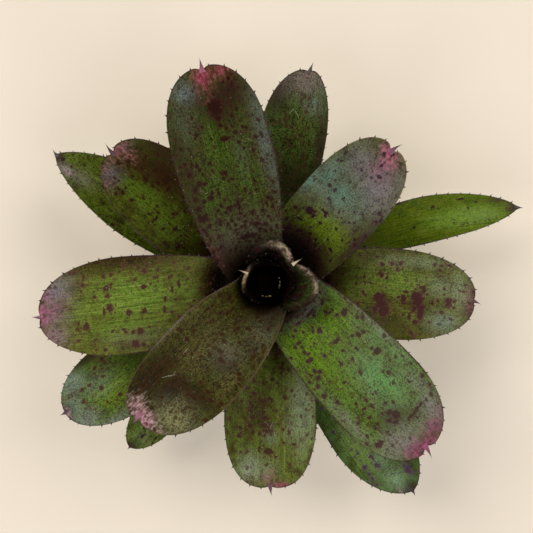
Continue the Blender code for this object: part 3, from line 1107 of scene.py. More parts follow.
@dataclass(frozen=True)
class Thorn:
    """A thorn, standing on its root at the origin, pointing along +X, flat in Z and hooked towards +Y."""

    slot: Slot = Slot.TOOTH
    width: float = 2.0
    thickness: float = 0.9
    length: float = 1.6
    sunk: float = 0.6
    hook: float = 0.8
    lift: float = 0.0
    sides: int = 8
    cuts: int = 3
    swell: float = 1.7

    def model(self, name: str) -> Object:
        """Model the thorn from a cone, cut into rings that curve, flatten and thin towards the point.

        Args:
            name: The new object's name.

        Returns:
            The thorn, with its height on the leaf's map.
        """
        deselect_all()
        bpy.ops.mesh.primitive_cone_add(vertices=self.sides, radius1=0.5, radius2=0.0, depth=1.0,
                                        location=(0, 0, 0.5))
        thorn = cut_rings(name, self.cuts)
        co = read_points(thorn.data)
        height = np.clip(co[:, 2], 0.0, 1.0)
        slim = np.where(height < 0.999, (1.0 - height) ** (self.swell - 1.0), 1.0)
        out = height * (self.length + self.sunk) - self.sunk
        side = co[:, 0] * self.width * slim + self.hook * height ** 2
        up = co[:, 1] * self.thickness * slim + self.lift * height ** 2
        write_points(thorn.data, np.column_stack([out, side, up]) * MM)
        write_uv(thorn.data, np.column_stack([side, -np.maximum(out, 0.0)]))
        set_slot(thorn, self.slot)
        return thorn

    @staticmethod
    def seat(source: Object, place: Array, out: Array, side: Array, up: Array, size: float = 1.0) -> Object:
        """Copy a modelled thorn with its own mesh and seat it on a leaf.

        Args:
            source: The modelled thorn.
            place: Where its root goes, in millimetres.
            out: Direction that it points in.
            side: Direction that it hooks towards.
            up: Direction of its flat side.
            size: Factor on its size.

        Returns:
            The copy, at the origin, with its place in its mesh.
        """
        copy = source.copy()
        copy.data = source.data.copy()
        bpy.context.collection.objects.link(copy)
        rows = np.column_stack([out * size, side * size, up * size, place * MM])
        turn = Matrix([*rows.tolist(), [0, 0, 0, 1]])
        copy.data.transform(turn)
        if turn.determinant() < 0:
            copy.data.flip_normals()
        return copy


@dataclass(frozen=True)
class Lint:
    """A thin curled fibre on a leaf: where it starts, its heading in degrees, its length and its curl."""

    from_tip: float
    across: float
    heading: float
    length: float
    curl: float = 40.0
    radius: float = 0.09
    sides: int = 5
    cuts: int = 14
    samples: int = 60

    def model(self, name: str, form: LeafForm) -> Object:
        """Model the fibre from a cylinder that is cut into rings and laid along the leaf.

        Args:
            name: The new object's name.
            form: The leaf that it lies on.

        Returns:
            The fibre, in place.
        """
        deselect_all()
        bpy.ops.mesh.primitive_cylinder_add(vertices=self.sides, radius=1.0, depth=1.0, location=(0, 0, 0.5))
        fibre = cut_rings(name, self.cuts)
        co = read_points(fibre.data)
        share = np.clip(co[:, 2], 0.0, 1.0)
        steps = np.linspace(0.0, 1.0, self.samples)
        way = np.radians(self.heading + self.curl * (steps - 0.5) + 0.35 * self.curl * np.sin(9 * steps))
        run, rise = (np.concatenate([[0.0], np.cumsum(turn(way[1:]))]) * self.length / self.samples
                     for turn in (np.sin, np.cos))
        across = self.across + np.interp(share, steps, run)
        s = form.length - self.from_tip + np.interp(share, steps, rise)
        place = across / form.half_width(s)
        _, side, up = form.frame_at(s, place)
        # It thins towards its end, and lifts off the leaf by up to a quarter of a millimetre
        thin = self.radius * (1.0 - 0.6 * share ** 4)
        loft = form.nesting.blade_thickness / 2 + 0.25 * np.sin(5 * share + self.heading) ** 2
        sideways, lift = (co[:, 0] * thin)[:, None], (co[:, 1] * thin + loft)[:, None]
        write_points(fibre.data, (form.surface(s, place) + side * sideways + up * lift) * MM)
        write_uv(fibre.data, np.zeros((len(co), 2)))
        set_slot(fibre, Slot.LINT)
        return fibre


@dataclass
class Leaf:
    """A leaf of the rosette, with its sheath, blade, toothed margin and end spine."""

    plan: LeafPlan
    skin: LeafSkin
    marks: Markings
    slot: str = "spotted_leaf_skin"
    lint: tuple[Lint, ...] = ()
    back: LeafBack = field(default_factory=LeafBack)
    nesting: Nesting = field(default_factory=Nesting)
    sheath_rows: int = 26
    blade_rows: int = 150
    columns: int = 60
    side_samples: int = 400
    tip_samples: int = 160
    margin_share: float = 0.45
    margin_taper: float = 4.0
    # The sheath's freckles and painted shade reach this far past the neck and fade over this length, and the
    # painted shade has this strength
    sheath_reach: float = 8.0
    sheath_fade: float = 14.0
    sheath_shade: float = 1.3
    edge_fade: float = 4.0
    crease: float = 50.0
    first_draw: int = 100
    tooth: Thorn = field(default_factory=Thorn)
    tooth_size: tuple[float, float] = (0.7, 1.1)
    tooth_gap: tuple[float, float] = (5.2, 8.4)
    tooth_start: float = 14.0
    tooth_stop: float = 3.0
    tooth_probe: float = 0.8
    tooth_root: str = "#240f15"
    spine_root: str = "#6f3d50"

    def build(self) -> Object:
        """Raise the blade, grow its teeth and spine, and dress it.

        Returns:
            The finished leaf, riding on the plant's body in place of its plain solid.
        """
        name = self.plan.name
        self.form = LeafForm(self.plan, self.nesting)
        self.draws = np.random.default_rng(self.first_draw + self.plan.rank)
        leaf = self.raise_blade()
        extras = self.grow_teeth() + self.grow_spine()
        extras += [fibre.model(f"{name}_lint_{index}", self.form) for index, fibre in enumerate(self.lint)]
        finishes = [self.skin, replace(self.back, name=name + "_underside_scaly"),
                    ThornHorn(name=name + "_tooth_horn", root=self.tooth_root),
                    ThornHorn(name=name + "_spine_horn", root=self.spine_root, fade=5.0)]
        if self.lint:
            finishes.append(LintFibre(name=name + "_lint_fibre"))
        materials = [finish.material() for finish in finishes]
        for item in (leaf, *extras):
            slots = np.empty(len(item.data.polygons), np.int32)
            item.data.polygons.foreach_get("material_index", slots)
            item.data.materials.clear()
            for material in materials:
                item.data.materials.append(material)
            item.data.polygons.foreach_set("material_index", slots)
        if extras:
            activate(leaf, *extras)
            bpy.ops.object.join()
        return finish_piece(leaf, name, self.crease)

    def raise_blade(self) -> Object:
        """Lay a grid out on the leaf's form, mark it, and give it its thickness.

        Returns:
            The blade with its sheath.
        """
        deselect_all()
        rows, form = self.sheath_rows + self.blade_rows, self.form
        bpy.ops.mesh.primitive_grid_add(x_subdivisions=self.columns, y_subdivisions=rows, size=1.0)
        blade = bpy.context.object
        co = read_points(blade.data)
        row = (co[:, 1] + 0.5) * rows
        s = np.where(row < self.sheath_rows, form.neck * row / self.sheath_rows,
                     form.neck + (form.length - form.neck) * (row - self.sheath_rows) / self.blade_rows)
        even = co[:, 0] * 2.0
        place = mix(even, np.sin(math.pi / 2 * even), smooth_step(form.outness(s)))
        length = form.length_at(s, place)
        margin = form.margin(length, place)
        write_points(blade.data, form.surface(length, place) * MM)
        self.mark(blade, length, place * form.half_width(length), margin)
        self.thicken(blade, length, margin)
        return blade

    def mark(self, blade: Object, length: Array, across: Array, margin: Array) -> None:
        """Write the leaf's own map and where its markings lie.

        Args:
            blade: The blade's object.
            length: Length of each point from the root.
            across: Distance of each point from the midline.
            margin: Distance of each point from the margin.
        """
        from_tip = self.form.length - length
        write_uv(blade.data, np.column_stack([across, from_tip]))
        lime, bloom, flush, freckled, blots, dusk_and_shade, cool_film_and_reflection = (
            self.marks.cover(kind, from_tip, across)
            for kind in ("lime", "bloom", "flush", "freckled", "blots", "dusk_and_shade", "cool_film_and_reflection"))
        # The sheath is freckled all over, and painted shade darkens it where it lies in the cup, less dark
        # low down
        sheath = 1.0 - smooth_step((length - self.form.neck + self.sheath_reach) / self.sheath_fade)
        deep = mix(0.45, 1.0, smooth_step((length / self.form.neck - 0.6) / 0.3))
        shaded = np.maximum(dusk_and_shade, self.sheath_shade * sheath * deep)
        bare = smooth_step((from_tip - self.marks.edge_reach) / self.edge_fade)
        edge = np.clip(margin / EDGE_BAND + bare, 0, 1)
        write_tint(blade.data, "tone", lime, bloom, flush, np.maximum(freckled, sheath))
        write_tint(blade.data, "mark", blots, shaded, edge, cool_film_and_reflection)

    def thicken(self, blade: Object, length: Array, margin: Array) -> None:
        """Give the blade its thickness, which is least in the sheath and tapers to a fine margin.

        Args:
            blade: The blade's object.
            length: Length of each point from the root.
            margin: Distance of each point from the margin.
        """
        nest = self.nesting
        body = mix(nest.sheath_thickness, nest.blade_thickness,
                   smooth_step((length - self.form.neck) / nest.unroll_length))
        if self.plan.rolled:
            body = np.full(len(length), nest.sheath_thickness)
        taper = mix(self.margin_share, 1.0, smooth_step(margin / self.margin_taper))
        share = body / nest.blade_thickness * taper
        set_slot(blade, Slot.UPPER)
        blade.data.flip_normals()
        group = blade.vertex_groups.new(name="thickness")
        for index, value in enumerate(share):
            group.add([index], float(value), "REPLACE")
        activate(blade)
        wall = blade.modifiers.new("wall", "SOLIDIFY")
        wall.thickness = nest.blade_thickness * MM
        wall.offset = 0.0
        wall.vertex_group = group.name
        wall.material_offset = Slot.UNDER.value
        wall.use_quality_normals = True
        bpy.ops.object.modifier_apply(modifier=wall.name)
        blade.vertex_groups.clear()

    def margin_run(self, side: int) -> Array:
        """Follow one of the leaf's margins from the sheath round to the tip.

        Args:
            side: -1 for the clockwise margin, or 1 for the other one.

        Returns:
            The length and the place across of each of its points.
        """
        form = self.form
        s = np.linspace(form.neck * 0.8, form.length, self.side_samples)
        edge = np.full(len(s), float(side))
        tip = side * np.sin(np.linspace(math.pi / 2, 0.0, self.tip_samples)[1:])
        return np.column_stack([np.concatenate([form.length_at(s, edge), form.length - form.tip_drop(tip)]),
                                np.concatenate([edge, tip])])

    def grow_teeth(self) -> list[Object]:
        """Seat hooked teeth along both margins, square to them and hooked towards the tip.

        Returns:
            The teeth.
        """
        model = self.tooth.model("tooth")
        teeth = []
        for side in (-1, 1):
            run = self.margin_run(side)
            line = self.form.surface(*run.T)
            steps = np.concatenate([[0.0], np.cumsum(np.linalg.norm(np.diff(line, axis=0), axis=1))])
            reach = self.tooth_start
            while reach < steps[-1] - self.tooth_stop:
                behind, here, ahead = (look_up(reach + step, steps, line)
                                       for step in (-self.tooth_probe, 0.0, self.tooth_probe))
                onward = unit(ahead - behind)
                up = self.form.frame_at(*look_up(reach, steps, run))[2]
                out = unit(np.cross(onward, up)) * -side
                up = unit(np.cross(out, onward) * -side)
                size = self.draws.uniform(*self.tooth_size)
                teeth.append(self.tooth.seat(model, here, out, onward, up, size))
                reach += self.draws.uniform(*self.tooth_gap)
        bpy.data.objects.remove(model)
        return teeth

    def grow_spine(self) -> list[Object]:
        """Grow the end spine from the notch at the tip.

        Returns:
            The spine, or nothing where the leaf has none.
        """
        plan, form = self.plan, self.form
        if plan.spine_length <= 0:
            return []
        turn, lean = math.radians(plan.spine_turn), math.radians(plan.spine_lean)
        spine = Thorn(slot=Slot.SPINE, width=plan.spine_width, thickness=1.2, length=plan.spine_length,
                      sunk=1.8, hook=plan.spine_length * math.tan(turn) * 0.8, lift=0.2, sides=12, cuts=7,
                      swell=1.55)
        model = spine.model("spine")
        s, middle = form.length - form.tip_drop(0.0), np.asarray(0.0)
        along, across, up = form.frame_at(s, middle)
        out = along * math.cos(lean) - up * math.sin(lean)
        grown = spine.seat(model, form.surface(s, middle), out, across, np.cross(out, across))
        bpy.data.objects.remove(model)
        return [grown]


@dataclass
class Stem:
    """The short stem: a tapered body with a flat cut foot and rings left by fallen leaves."""

    nesting: Nesting = field(default_factory=Nesting)
    scar_heights: tuple[float, ...] = (1.8, 3.4, 5.0)
    scar_depth: float = 0.5
    shoulder: float = 0.8
    sides: int = 96
    rings: int = 24
    crease: float = 40.0

    def profile(self) -> list[tuple[float, float]]:
        """Lay out the stem's rings, from the foot upwards.

        Returns:
            The radius and height of each ring, in millimetres.
        """
        nest = self.nesting
        rings = [(nest.stem_foot_radius, 0.0)]
        for height in self.scar_heights:
            for step in (-1.0, -0.5, 0.0, 0.5, 1.0):
                groove = self.scar_depth * math.cos(step * math.pi / 2)
                rings.append((nest.stem_radius(height) - groove, height + step * self.scar_depth))
        start = self.scar_heights[-1] + 2 * self.scar_depth
        rings += [(nest.stem_radius(height), height)
                  for height in np.linspace(start, nest.stem_height - self.shoulder, self.rings)]
        return rings + [(nest.stem_top_radius - 2 * self.shoulder, nest.stem_height)]

    def build(self) -> Object:
        """Turn the stem from a circle that is extruded up its profile.

        Returns:
            The finished stem, riding on the plant's body in place of its plain solid.
        """
        profile = self.profile()
        deselect_all()
        bpy.ops.mesh.primitive_circle_add(vertices=self.sides, radius=profile[0][0] * MM, fill_type="NGON")
        stem = bpy.context.object
        bpy.ops.object.mode_set(mode="EDIT")
        bpy.ops.mesh.select_mode(type="EDGE")
        bpy.ops.mesh.select_all(action="SELECT")
        for (radius, height), (next_radius, next_height) in zip(profile, profile[1:]):
            rise, growth = (next_height - height) * MM, next_radius / radius
            bpy.ops.mesh.extrude_edges_move(TRANSFORM_OT_translate={"value": (0, 0, rise)})
            bpy.ops.transform.resize(value=(growth, growth, 1.0), center_override=(0, 0, next_height * MM))
        bpy.ops.mesh.edge_face_add()
        bpy.ops.mesh.select_all(action="SELECT")
        bpy.ops.mesh.normals_make_consistent(inside=False)
        bpy.ops.object.mode_set(mode="OBJECT")
        self.roughen(stem)
        stem.data.materials.append(StemRind().material())
        stem.data.materials.append(StemPith().material())
        for face in stem.data.polygons:
            face.material_index = int(abs(face.normal.z) > 0.99)
        return finish_piece(stem, "stem", self.crease)

    def roughen(self, stem: Object) -> None:
        """Sink shallow fibres and dents into the rind, and leave the foot's rim as it is.

        Args:
            stem: The stem's object.
        """
        co = read_points(stem.data)
        angle = np.arctan2(co[:, 1], co[:, 0])
        height = co[:, 2] / MM
        # Fibres that wind up the stem, 23 and 9 of them round it, with their depths in millimetres
        dents = 0.12 * np.sin(23 * angle + height / 3) + 0.1 * np.sin(9 * angle - height / 5) - 0.22
        share = 1.0 + np.where(height > 0.05, dents, 0.0) / np.maximum(np.hypot(co[:, 0], co[:, 1]) / MM, 1.0)
        write_points(stem.data, co * np.column_stack([share, share, np.ones(len(co))]))


@dataclass(frozen=True)
class Studio:
    """Plain pale ground, soft light and the camera straight above the plant."""

    camera_place: tuple[float, float, float] = (0.0, 0.009, 0.520)
    lens: float = 54.44
    sensor: float = 36.0
    light_breadth: float = 38.0
    light_aim: tuple[float, float, float] = (0.0, 0.0, 0.06)
    sky_colour: str = "#fbf1e2"
    horizon_light: float = 0.8
    zenith_light: float = 0.11

    def build(self) -> None:
        """Set the ground, the lights, the sky and the camera."""
        deselect_all()
        bpy.ops.mesh.primitive_plane_add(size=60.0, location=(0, 0, 0))
        ground = bpy.context.object
        ground.name = "ground"
        ground.data.materials.append(PaleGround().material())
        for name, place, power, colour in (("window", (-1.0, 0.9, 1.35), 1.70, "#fffaf2"),
                                           ("room_right", (1.05, 0.75, 1.3), 1.16, "#fffbf6"),
                                           ("room_left", (-0.95, -0.95, 1.3), 0.97, "#f8f8ff"),
                                           ("room_front", (0.95, -1.0, 1.3), 1.03, "#f8f8ff")):
            lamp = bpy.data.lights.new(name, "SUN")
            lamp.angle = math.radians(self.light_breadth)
            lamp.energy = power
            lamp.color = linear(colour)[:3]
            item = self.place_item(name, lamp, place)
            item.rotation_euler = (Vector(self.light_aim) - Vector(place)).to_track_quat("-Z", "Y").to_euler()
        self.add_sky()
        self.add_camera()

    def place_item(self, name: str, data: bpy.types.ID, place: tuple[float, float, float]) -> Object:
        """Put a lamp or a camera in the scene.

        Args:
            name: The new object's name.
            data: The lamp or camera.
            place: Where it goes, in metres.

        Returns:
            The object.
        """
        item = bpy.data.objects.new(name, data)
        bpy.context.collection.objects.link(item)
        item.location = place
        return item

    def add_sky(self) -> None:
        """Fill the surroundings with soft light that is strong near the horizon and weak above."""
        world = bpy.data.worlds.new("studio")
        world.use_nodes = True
        tree = world.node_tree
        way = add_node(tree, "TexCoord", out="Generated")
        height = add_node(tree, "SeparateXYZ", way, out=2)
        strength = add_node(tree, "MapRange", height, 0.02, 0.5, self.horizon_light, self.zenith_light)
        feed(tree, tree.nodes["Background"], {"Color": self.sky_colour, "Strength": strength})
        bpy.context.scene.world = world

    def add_camera(self) -> None:
        """Put the camera where the plant was seen from."""
        camera = bpy.data.cameras.new("camera")
        camera.lens = self.lens
        camera.sensor_width = self.sensor
        camera.clip_start = 0.01
        bpy.context.scene.camera = self.place_item("camera", camera, self.camera_place)
        bpy.context.scene.view_settings.view_transform = "Standard"


def inner_leaves() -> list[Leaf]:
    """Size the six open leaves round the cup, each with its own skin and markings.

    Returns:
        The leaves, from the innermost outwards.
    """
    # A blot's row is its distance from the tip, its place across, half its length and half its width
    # Dusk ovals at a leaf's base, most of them stronger than 1, are painted shade where the leaf goes down
    # into the cup
    return [
        Leaf(
            LeafPlan("leaf_01", 3, 229, 95.5, 112, 243, 50, tip_length=42, tip_power=2.6, tip_shift=-0.22,
                     tip_slope=8, notch=1.8, spine_length=4.8, spine_turn=20),
            LeafSkin("leaf_01_skin_olive", green="#454a17", lime="#514e24", shade="#2c260c", dusk_and_shade="#1c0e02",
                     flush="#94506c", bloom="#69675a", cool_film_and_reflection="#808057", freckles=0.85, spots=0.35,
                     stripes=0.1, blot="#3c260f", mauve="#7d5d58", frost=0.8, pale="#b9a6a0", grit=1.75,
                     seed=1, stipple=0.24, margin="#54432f"),
            Markings(
                blots=((29, 6, 1.2, 2.4), (28, 11, 1.4, 2.4), (31, 14, 1.4, 2), (33, 18, 1.4, 2.4),
                       (35, 22, 1.4, 1.4), (31, -12, 1.5, 1.5), (35, -8, 1.5, 1.2), (34, -13, 1.2, 1),
                       (35, 14, 1.3, 1.3), (41, 16, 1.2, 1), (48, -19, 1.5, 1.5), (47, -13, 1.5, 2),
                       (53, -14, 1.5, 1.4), (50, 2, 1.5, 1.5), (52, 8, 1.5, 2.4), (55, 4, 1.2, 3),
                       (61, 2, 1.3, 1.3), (66, 8, 1.3, 1.2), (70, -11, 1.5, 1.5), (73, -8, 1.2, 1.2),
                       (63, -11, 1.3, 1.2), (75, -20, 1.2, 2), (72, 2, 1.6, 1.2), (76, 6, 1.2, 2.4),
                       (15, -12, 2, 3)),
                freckled=((24, -4, 16, 22, 0.7), (70, 0, 30, 30, 0.45)),
                dusk_and_shade=((20, -12, 14, 9, 0.55), (23, 1, 8, 4.5, 0.75), (30, 12, 5, 10, 0.4),
                      (52, 8, 6, 6, 0.3), (101, 0, 10, 30, 1.5)),
                bloom=((56, 8, 9, 8, 0.5), (80, 14, 12, 9, 0.5), (50, -24.6, 34, 0.7, 1.5)),
                cool_film_and_reflection=((14, 12, 9, 9, 0.95), (14, 8, 6, 5, 0.4)),
                lime=((45, -3, 20, 12, 0.6), (45, 18, 14, 5, 0.6), (48, -23, 30, 3, 0.7)),
                flush=((3, 2, 6, 8, 1.1), (6, -6, 6, 7, 0.8), (9, -7, 4, 5, 0.4), (3, 11, 4, 6, 0.5))),
            slot="olive_leaf_skin", spine_root="#8d5a6c",
            lint=(Lint(24, -7, 150, 9, 70), Lint(27, -5, 125, 7, -60), Lint(33, -1, 100, 8, 50, 0.07),
                  Lint(22, 6, 60, 6, 60, 0.08), Lint(44, -9, 20, 5, 80, 0.07))),
        Leaf(
            LeafPlan("leaf_02", 4, 106.7, 115, 113, 122, 52, neck_share=0.77, tip_power=2.4, tip_slope=6,
                     spine_turn=-4, spine_length=6, notch=1.6),
            LeafSkin("leaf_02_skin_spotted", green="#374410", lime="#324808", shade="#2c2e0d",
                     dusk_and_shade="#2c1511", bloom="#5d564b", cool_film_and_reflection="#616e6d", flush="#8c2c4a", blot="#33120f",
                     frost=0.1, mauve="#64382a", grit=1.4, seed=2, stipple=0.2, freckles=0.66, spots=0.42,
                     stripes=0.15),
            Markings(
                blots=((22, -2, 5, 4), (27, -2, 2, 1.8), (31, -2, 1.6, 1.5), (33, -5, 1.2, 1.2),
                       (38, -3, 1.6, 3.5), (32, -8, 1.4, 1), (34, -13, 1.3, 1), (36, -9, 1.6, 1.2),
                       (34, 12, 1.2, 1), (41, -9, 1.2, 1.2), (45, -11, 1.4, 1), (48, 8, 1.2, 1.2),
                       (48, 15, 1.6, 1.2), (53, 13, 1.5, 1), (55, 2, 1.8, 2.4), (58, 3, 1.2, 1.2),
                       (59, -1, 1.2, 1.5), (57, 16, 1.8, 1.8), (60, 19, 1.8, 2), (58, 13, 1.5, 1.4),
                       (64, 11, 1.2, 1.2), (66, 12, 1.8, 2.2), (67, 16, 1.5, 1.5), (61, -12, 1.2, 0.9),
                       (73, -17, 1.4, 1.6), (74, -1, 3.5, 1.3), (74, 4, 1.3, 2.6), (76, 19, 2.5, 3.5),
                       (70, 20, 2, 1.5), (79, -1, 1.5, 1), (80, -13, 1.5, 1.5), (87, -8, 1.5, 3),
                       (88, -13, 1.8, 2), (92, -12, 1.2, 1.5), (94, -2, 2, 7), (88, 4, 1.2, 1.2),
                       (82, 11, 1.2, 1.2)),
                freckled=((88, 0, 20, 30, 1.2), (45, -16, 30, 8, 0.5), (60, 18, 24, 8, 0.7)),
                dusk_and_shade=((15, -11, 9, 8, 0.6), (20, -3, 10, 8, 0.62), (14, 6, 7, 5, 0.5),
                      (50, 22, 30, 4, 0.25), (102, 17, 10, 8, 0.9), (110, -8, 7, 18, 1.3),
                      (112, 16, 5, 12, 1.3)),
                bloom=((92, -2, 13, 20, 0.8), (26, 14, 10, 7, 0.35)),
                cool_film_and_reflection=((11, 12, 7, 7, 0.95), (42, -23, 34, 5, 0.75), (24, 16, 14, 6, 0.4),
                      (50, -9, 14, 4, 0.3)),
                lime=((42, 2, 18, 8), (66, 9, 16, 9, 0.9), (58, -9, 20, 8, 0.9), (82, 8, 12, 10, 0.5)),
                flush=((6, 1, 8, 6), (11, 1, 8, 5, 0.55), (4, -9, 6, 9, 0.8), (97, 21, 12, 6, 0.45))),
            spine_root="#8a4a60",
            lint=(Lint(70, -14, 85, 6, 40, 0.07), Lint(42, -16, 60, 4, 70, 0.08))),
        Leaf(
            LeafPlan("leaf_03", 5, 315, 121, 100, 323, 52.5, tip_shift=-0.05, spine_turn=-23, notch=2.2,
                     spine_length=7),
            LeafSkin("leaf_03_skin_spotted", green="#4f6e23", lime="#4b6b0c", shade="#3f4a16",
                     bloom="#81737b", cool_film_and_reflection="#59a557", flush="#6e2446", blot="#4b332e", frost=0.1, grit=1.05,
                     mauve="#6a4244", seed=3, stipple=0.12, freckles=0.6, spots=0.44, stripes=0.2),
            Markings(
                blots=((22, -3, 1.5, 2), (25, -5, 1.6, 1.6), (25, 0, 2.5, 3), (28, -2, 1.5, 2.5),
                       (30, -5, 1.2, 1.2), (19, 6, 1, 4), (20, 12, 1, 4), (20, -18, 2, 4),
                       (28, -11, 1.3, 1.3), (33, -12, 1.2, 1.5), (38, -11, 1.3, 1.5), (35, -19, 1.2, 1.2),
                       (41, -2, 1.5, 1), (43, 12, 2, 1.3), (43, -12, 1.2, 1.2), (50, -19, 1.4, 1.8),
                       (53, 1, 2, 1.2), (55, -9, 1, 1.6), (57, -22, 1.6, 2), (55, 15, 2, 3),
                       (58, 14, 1, 1.5), (61, 3, 1.3, 1.2), (64, 8, 1.2, 1.2), (66, -18, 1.6, 1.6),
                       (68, -15, 1.6, 1.6), (70, -17, 1.6, 1.2), (68, 2, 1.2, 1.2), (68, 14, 2, 1.5),
                       (67, 17, 1.5, 1.2), (70, 11, 1.2, 1), (73, 22, 1.8, 1.8), (74, 3, 1.5, 3.5),
                       (76, -15, 1.5, 3.2), (79, -13, 1, 1.5), (83, -22, 1.2, 1.5), (82, 17, 2.2, 3.2),
                       (84, 13, 1.2, 1.2), (85, 0, 2.2, 2), (87, -13, 1.3, 2), (87, -3, 1.5, 1),
                       (88, 11, 1.5, 1.2), (97, -6, 1.2, 3), (97, 3, 1.4, 5), (95, 12, 1.2, 2)),
                freckled=((26, 0, 9, 14, 0.6), (98, 0, 10, 26, 0.9), (55, -20, 36, 6, 0.4)),
                dusk_and_shade=((25, -2, 7, 8, 0.55), (19, 9, 3, 8, 0.4), (112, 0, 9, 26, 1.5)),
                bloom=((14, -8, 9, 18, 0.8), (16, 16, 10, 8, 0.8), (28, 19, 14, 5, 0.7),
                       (60, 24, 26, 3.5, 0.6), (36, -22, 18, 4, 0.5), (100, 4, 5, 16, 0.7)),
                cool_film_and_reflection=((42, 6, 19, 11, 0.75), (46, 21, 14, 4, 0.5), (60, 18, 20, 6, 0.35)),
                lime=((80, -8, 24, 14), (84, 8, 14, 12, 0.9), (55, -6, 18, 10, 0.6), (36, 7, 8, 6, 0.5)),
                flush=((4.5, -5, 7, 9, 1.1), (7, 10, 7, 8, 0.95), (3, 2, 6, 10), (11, 17, 6, 5, 0.6))),
            spine_root="#8a3f63"),
        Leaf(
            LeafPlan("leaf_04", 6, 187.6, 123, 90, 198, 53, tip_length=46, tip_power=2.2, tip_shift=0.08,
                     spine_length=5, notch=1),
            LeafSkin("leaf_04_skin_spotted", green="#5d6524", lime="#5d7628", shade="#434616",
                     dusk_and_shade="#2f1e0d", bloom="#926e8b", cool_film_and_reflection="#7a7e93", flush="#8a3858", blot="#5b3e30",
                     frost=0.2, grit=0.8, mauve="#6c4248", seed=4, stipple=0.12, spots=0.42, stripes=0.3,
                     line="#8fa548"),
            Markings(
                blots=((21, 6, 1.2, 1.2), (25, 8, 2, 2.8), (26, -18, 1.2, 3), (35, 1, 1, 3),
                       (37, -11, 2, 2), (38, -1, 2.2, 2.8), (40, -13, 1.2, 1.2), (45, -19, 1.2, 1),
                       (48, 3, 1.8, 2.2), (49, 14, 1.4, 1.4), (50, 21, 2.8, 3), (54, 22, 1.5, 2),
                       (53, 14, 2.5, 2.5), (56, 3, 2, 2), (57, -10, 1.8, 1.8), (55, -20, 1.5, 1.5),
                       (58, -18, 2, 1.5), (65, -18, 1.2, 1.2), (68, -2, 1.2, 2), (67, 4, 1, 3),
                       (71, -13, 1.2, 1.5), (72, -7, 1, 2.5), (76, -9, 1.4, 2.4), (84, 1, 1.2, 1.2),
                       (82, 5, 1.2, 2)),
                freckled=((50, -19, 30, 5, 0.5), (75, 0, 12, 20, 0.3)),
                dusk_and_shade=((48, -25, 34, 5, 0.75), (98, 0, 9, 26, 1.5), (24, -22, 10, 4, 0.5)),
                bloom=((10, -12, 9, 9, 0.75), (8, 12, 7, 7, 0.7), (8, 0, 9, 8, 0.5)),
                cool_film_and_reflection=((13, -15, 8, 6, 0.6), (50, 18, 14, 6, 0.2)),
                lime=((52, -5, 28, 12), (45, 12, 24, 9, 0.7), (22, 4, 10, 10, 0.5), (80, -6, 10, 10, 0.6)),
                flush=((3, -1, 6, 8), (9, -3, 6, 5, 0.6), (4, -11, 5, 6, 0.7), (4, 10, 4, 6, 0.4))),
            spine_root="#7d4a5c",
            lint=(Lint(36, -13, 85, 6, 30, 0.07),)),
        Leaf(
            LeafPlan("leaf_05", 7, 46.8, 98.5, 97, 45, 46, neck_share=1, tip_power=2.5, tip_slope=10,
                     spine_turn=-24, notch=2.4, spine_length=6.4),
            LeafSkin("leaf_05_skin_silvered", green="#4c581a", lime="#56690f", shade="#34360e",
                     bloom="#7a6e7b", cool_film_and_reflection="#587d6e", flush="#a0405e", blot="#391824", frost=0.15,
                     mauve="#7e5056", margin="#6f6242", seed=5, stipple=0.14, freckles=0.45, spots=0.34,
                     stripes=0.15),
            Markings(
                blots=((38, 12, 1.2, 2), (40, -8, 1.2, 1), (44, 7, 1.2, 1.5), (41, 20, 1.5, 0.8),
                       (30, 15, 1.2, 1), (44, -12, 1, 1), (46, -10, 1.2, 1), (46, -2, 1.4, 0.8),
                       (51, 4, 1, 3.5), (53, 2, 1, 1.5), (54, -7, 1, 1), (56, 10, 2.6, 4.2),
                       (58, 7, 1.2, 1.2), (60, 18, 1.2, 1.5), (62, -8, 1, 1), (65, -13, 1, 2),
                       (64, 12, 0.8, 2.5), (69, -18, 1, 1), (56, -14, 1, 1), (17, -5, 1.2, 1.6),
                       (24, 16, 1.2, 1)),
                freckled=((13, -2, 7, 8, 0.2), (56, -19, 18, 4, 0.6), (72, 0, 7, 20, 0.6)),
                dusk_and_shade=((14, -3, 6, 7, 0.5), (84, 0, 12, 30, 1.6), (52, -22, 20, 4, 0.6)),
                bloom=((24, -8, 15, 14, 0.95), (20, 8, 12, 12, 0.8), (12, -14, 8, 8, 0.5),
                       (8, 13, 6, 7, 0.3)),
                cool_film_and_reflection=((38, 4, 10, 14, 0.95), (34, 16, 14, 8, 0.9), (42, 22, 9, 5), (40, -10, 8, 6, 0.6)),
                lime=((58, -4, 9, 13), (62, 8, 8, 8, 0.6)),
                flush=((4, 0, 6, 7, 0.95), (9, -3, 7, 8, 0.8), (15, -3, 8, 9, 0.55)), edge_reach=24),
            spine_root="#6f4258"),
        Leaf(
            LeafPlan("leaf_06", 8, 271, 112, 80, 275, 51, tip_power=2.7, tip_slope=-5, spine_turn=13,
                     spine_length=5.6, notch=1),
            LeafSkin("leaf_06_skin_spotted", green="#62742a", lime="#546021", shade="#3c3a12",
                     dusk_and_shade="#27150a", bloom="#9ba294", cool_film_and_reflection="#6d7d63", flush="#8a3052", blot="#523628",
                     frost=0.15, mauve="#6a4236", seed=6, stipple=0.2, freckles=0.62, spots=0.46,
                     stripes=0.3),
            Markings(
                blots=((13, -2, 1.2, 1.5), (20, -1, 2.2, 3), (17, 3, 1.2, 1.2), (22, -6, 1.2, 1.2),
                       (24, 13, 1.2, 1.5), (29, -17, 1.6, 2), (33, -17, 1.2, 1.2), (31, -1, 1.4, 4),
                       (34, -3, 1.5, 3), (34, -11, 1.5, 2), (38, -10, 1.2, 2), (38, -3, 1.5, 3),
                       (42, -11, 1.2, 1.5), (41, -4, 2, 1.2), (46, -11, 1.5, 1.5), (47, -5, 1.5, 2),
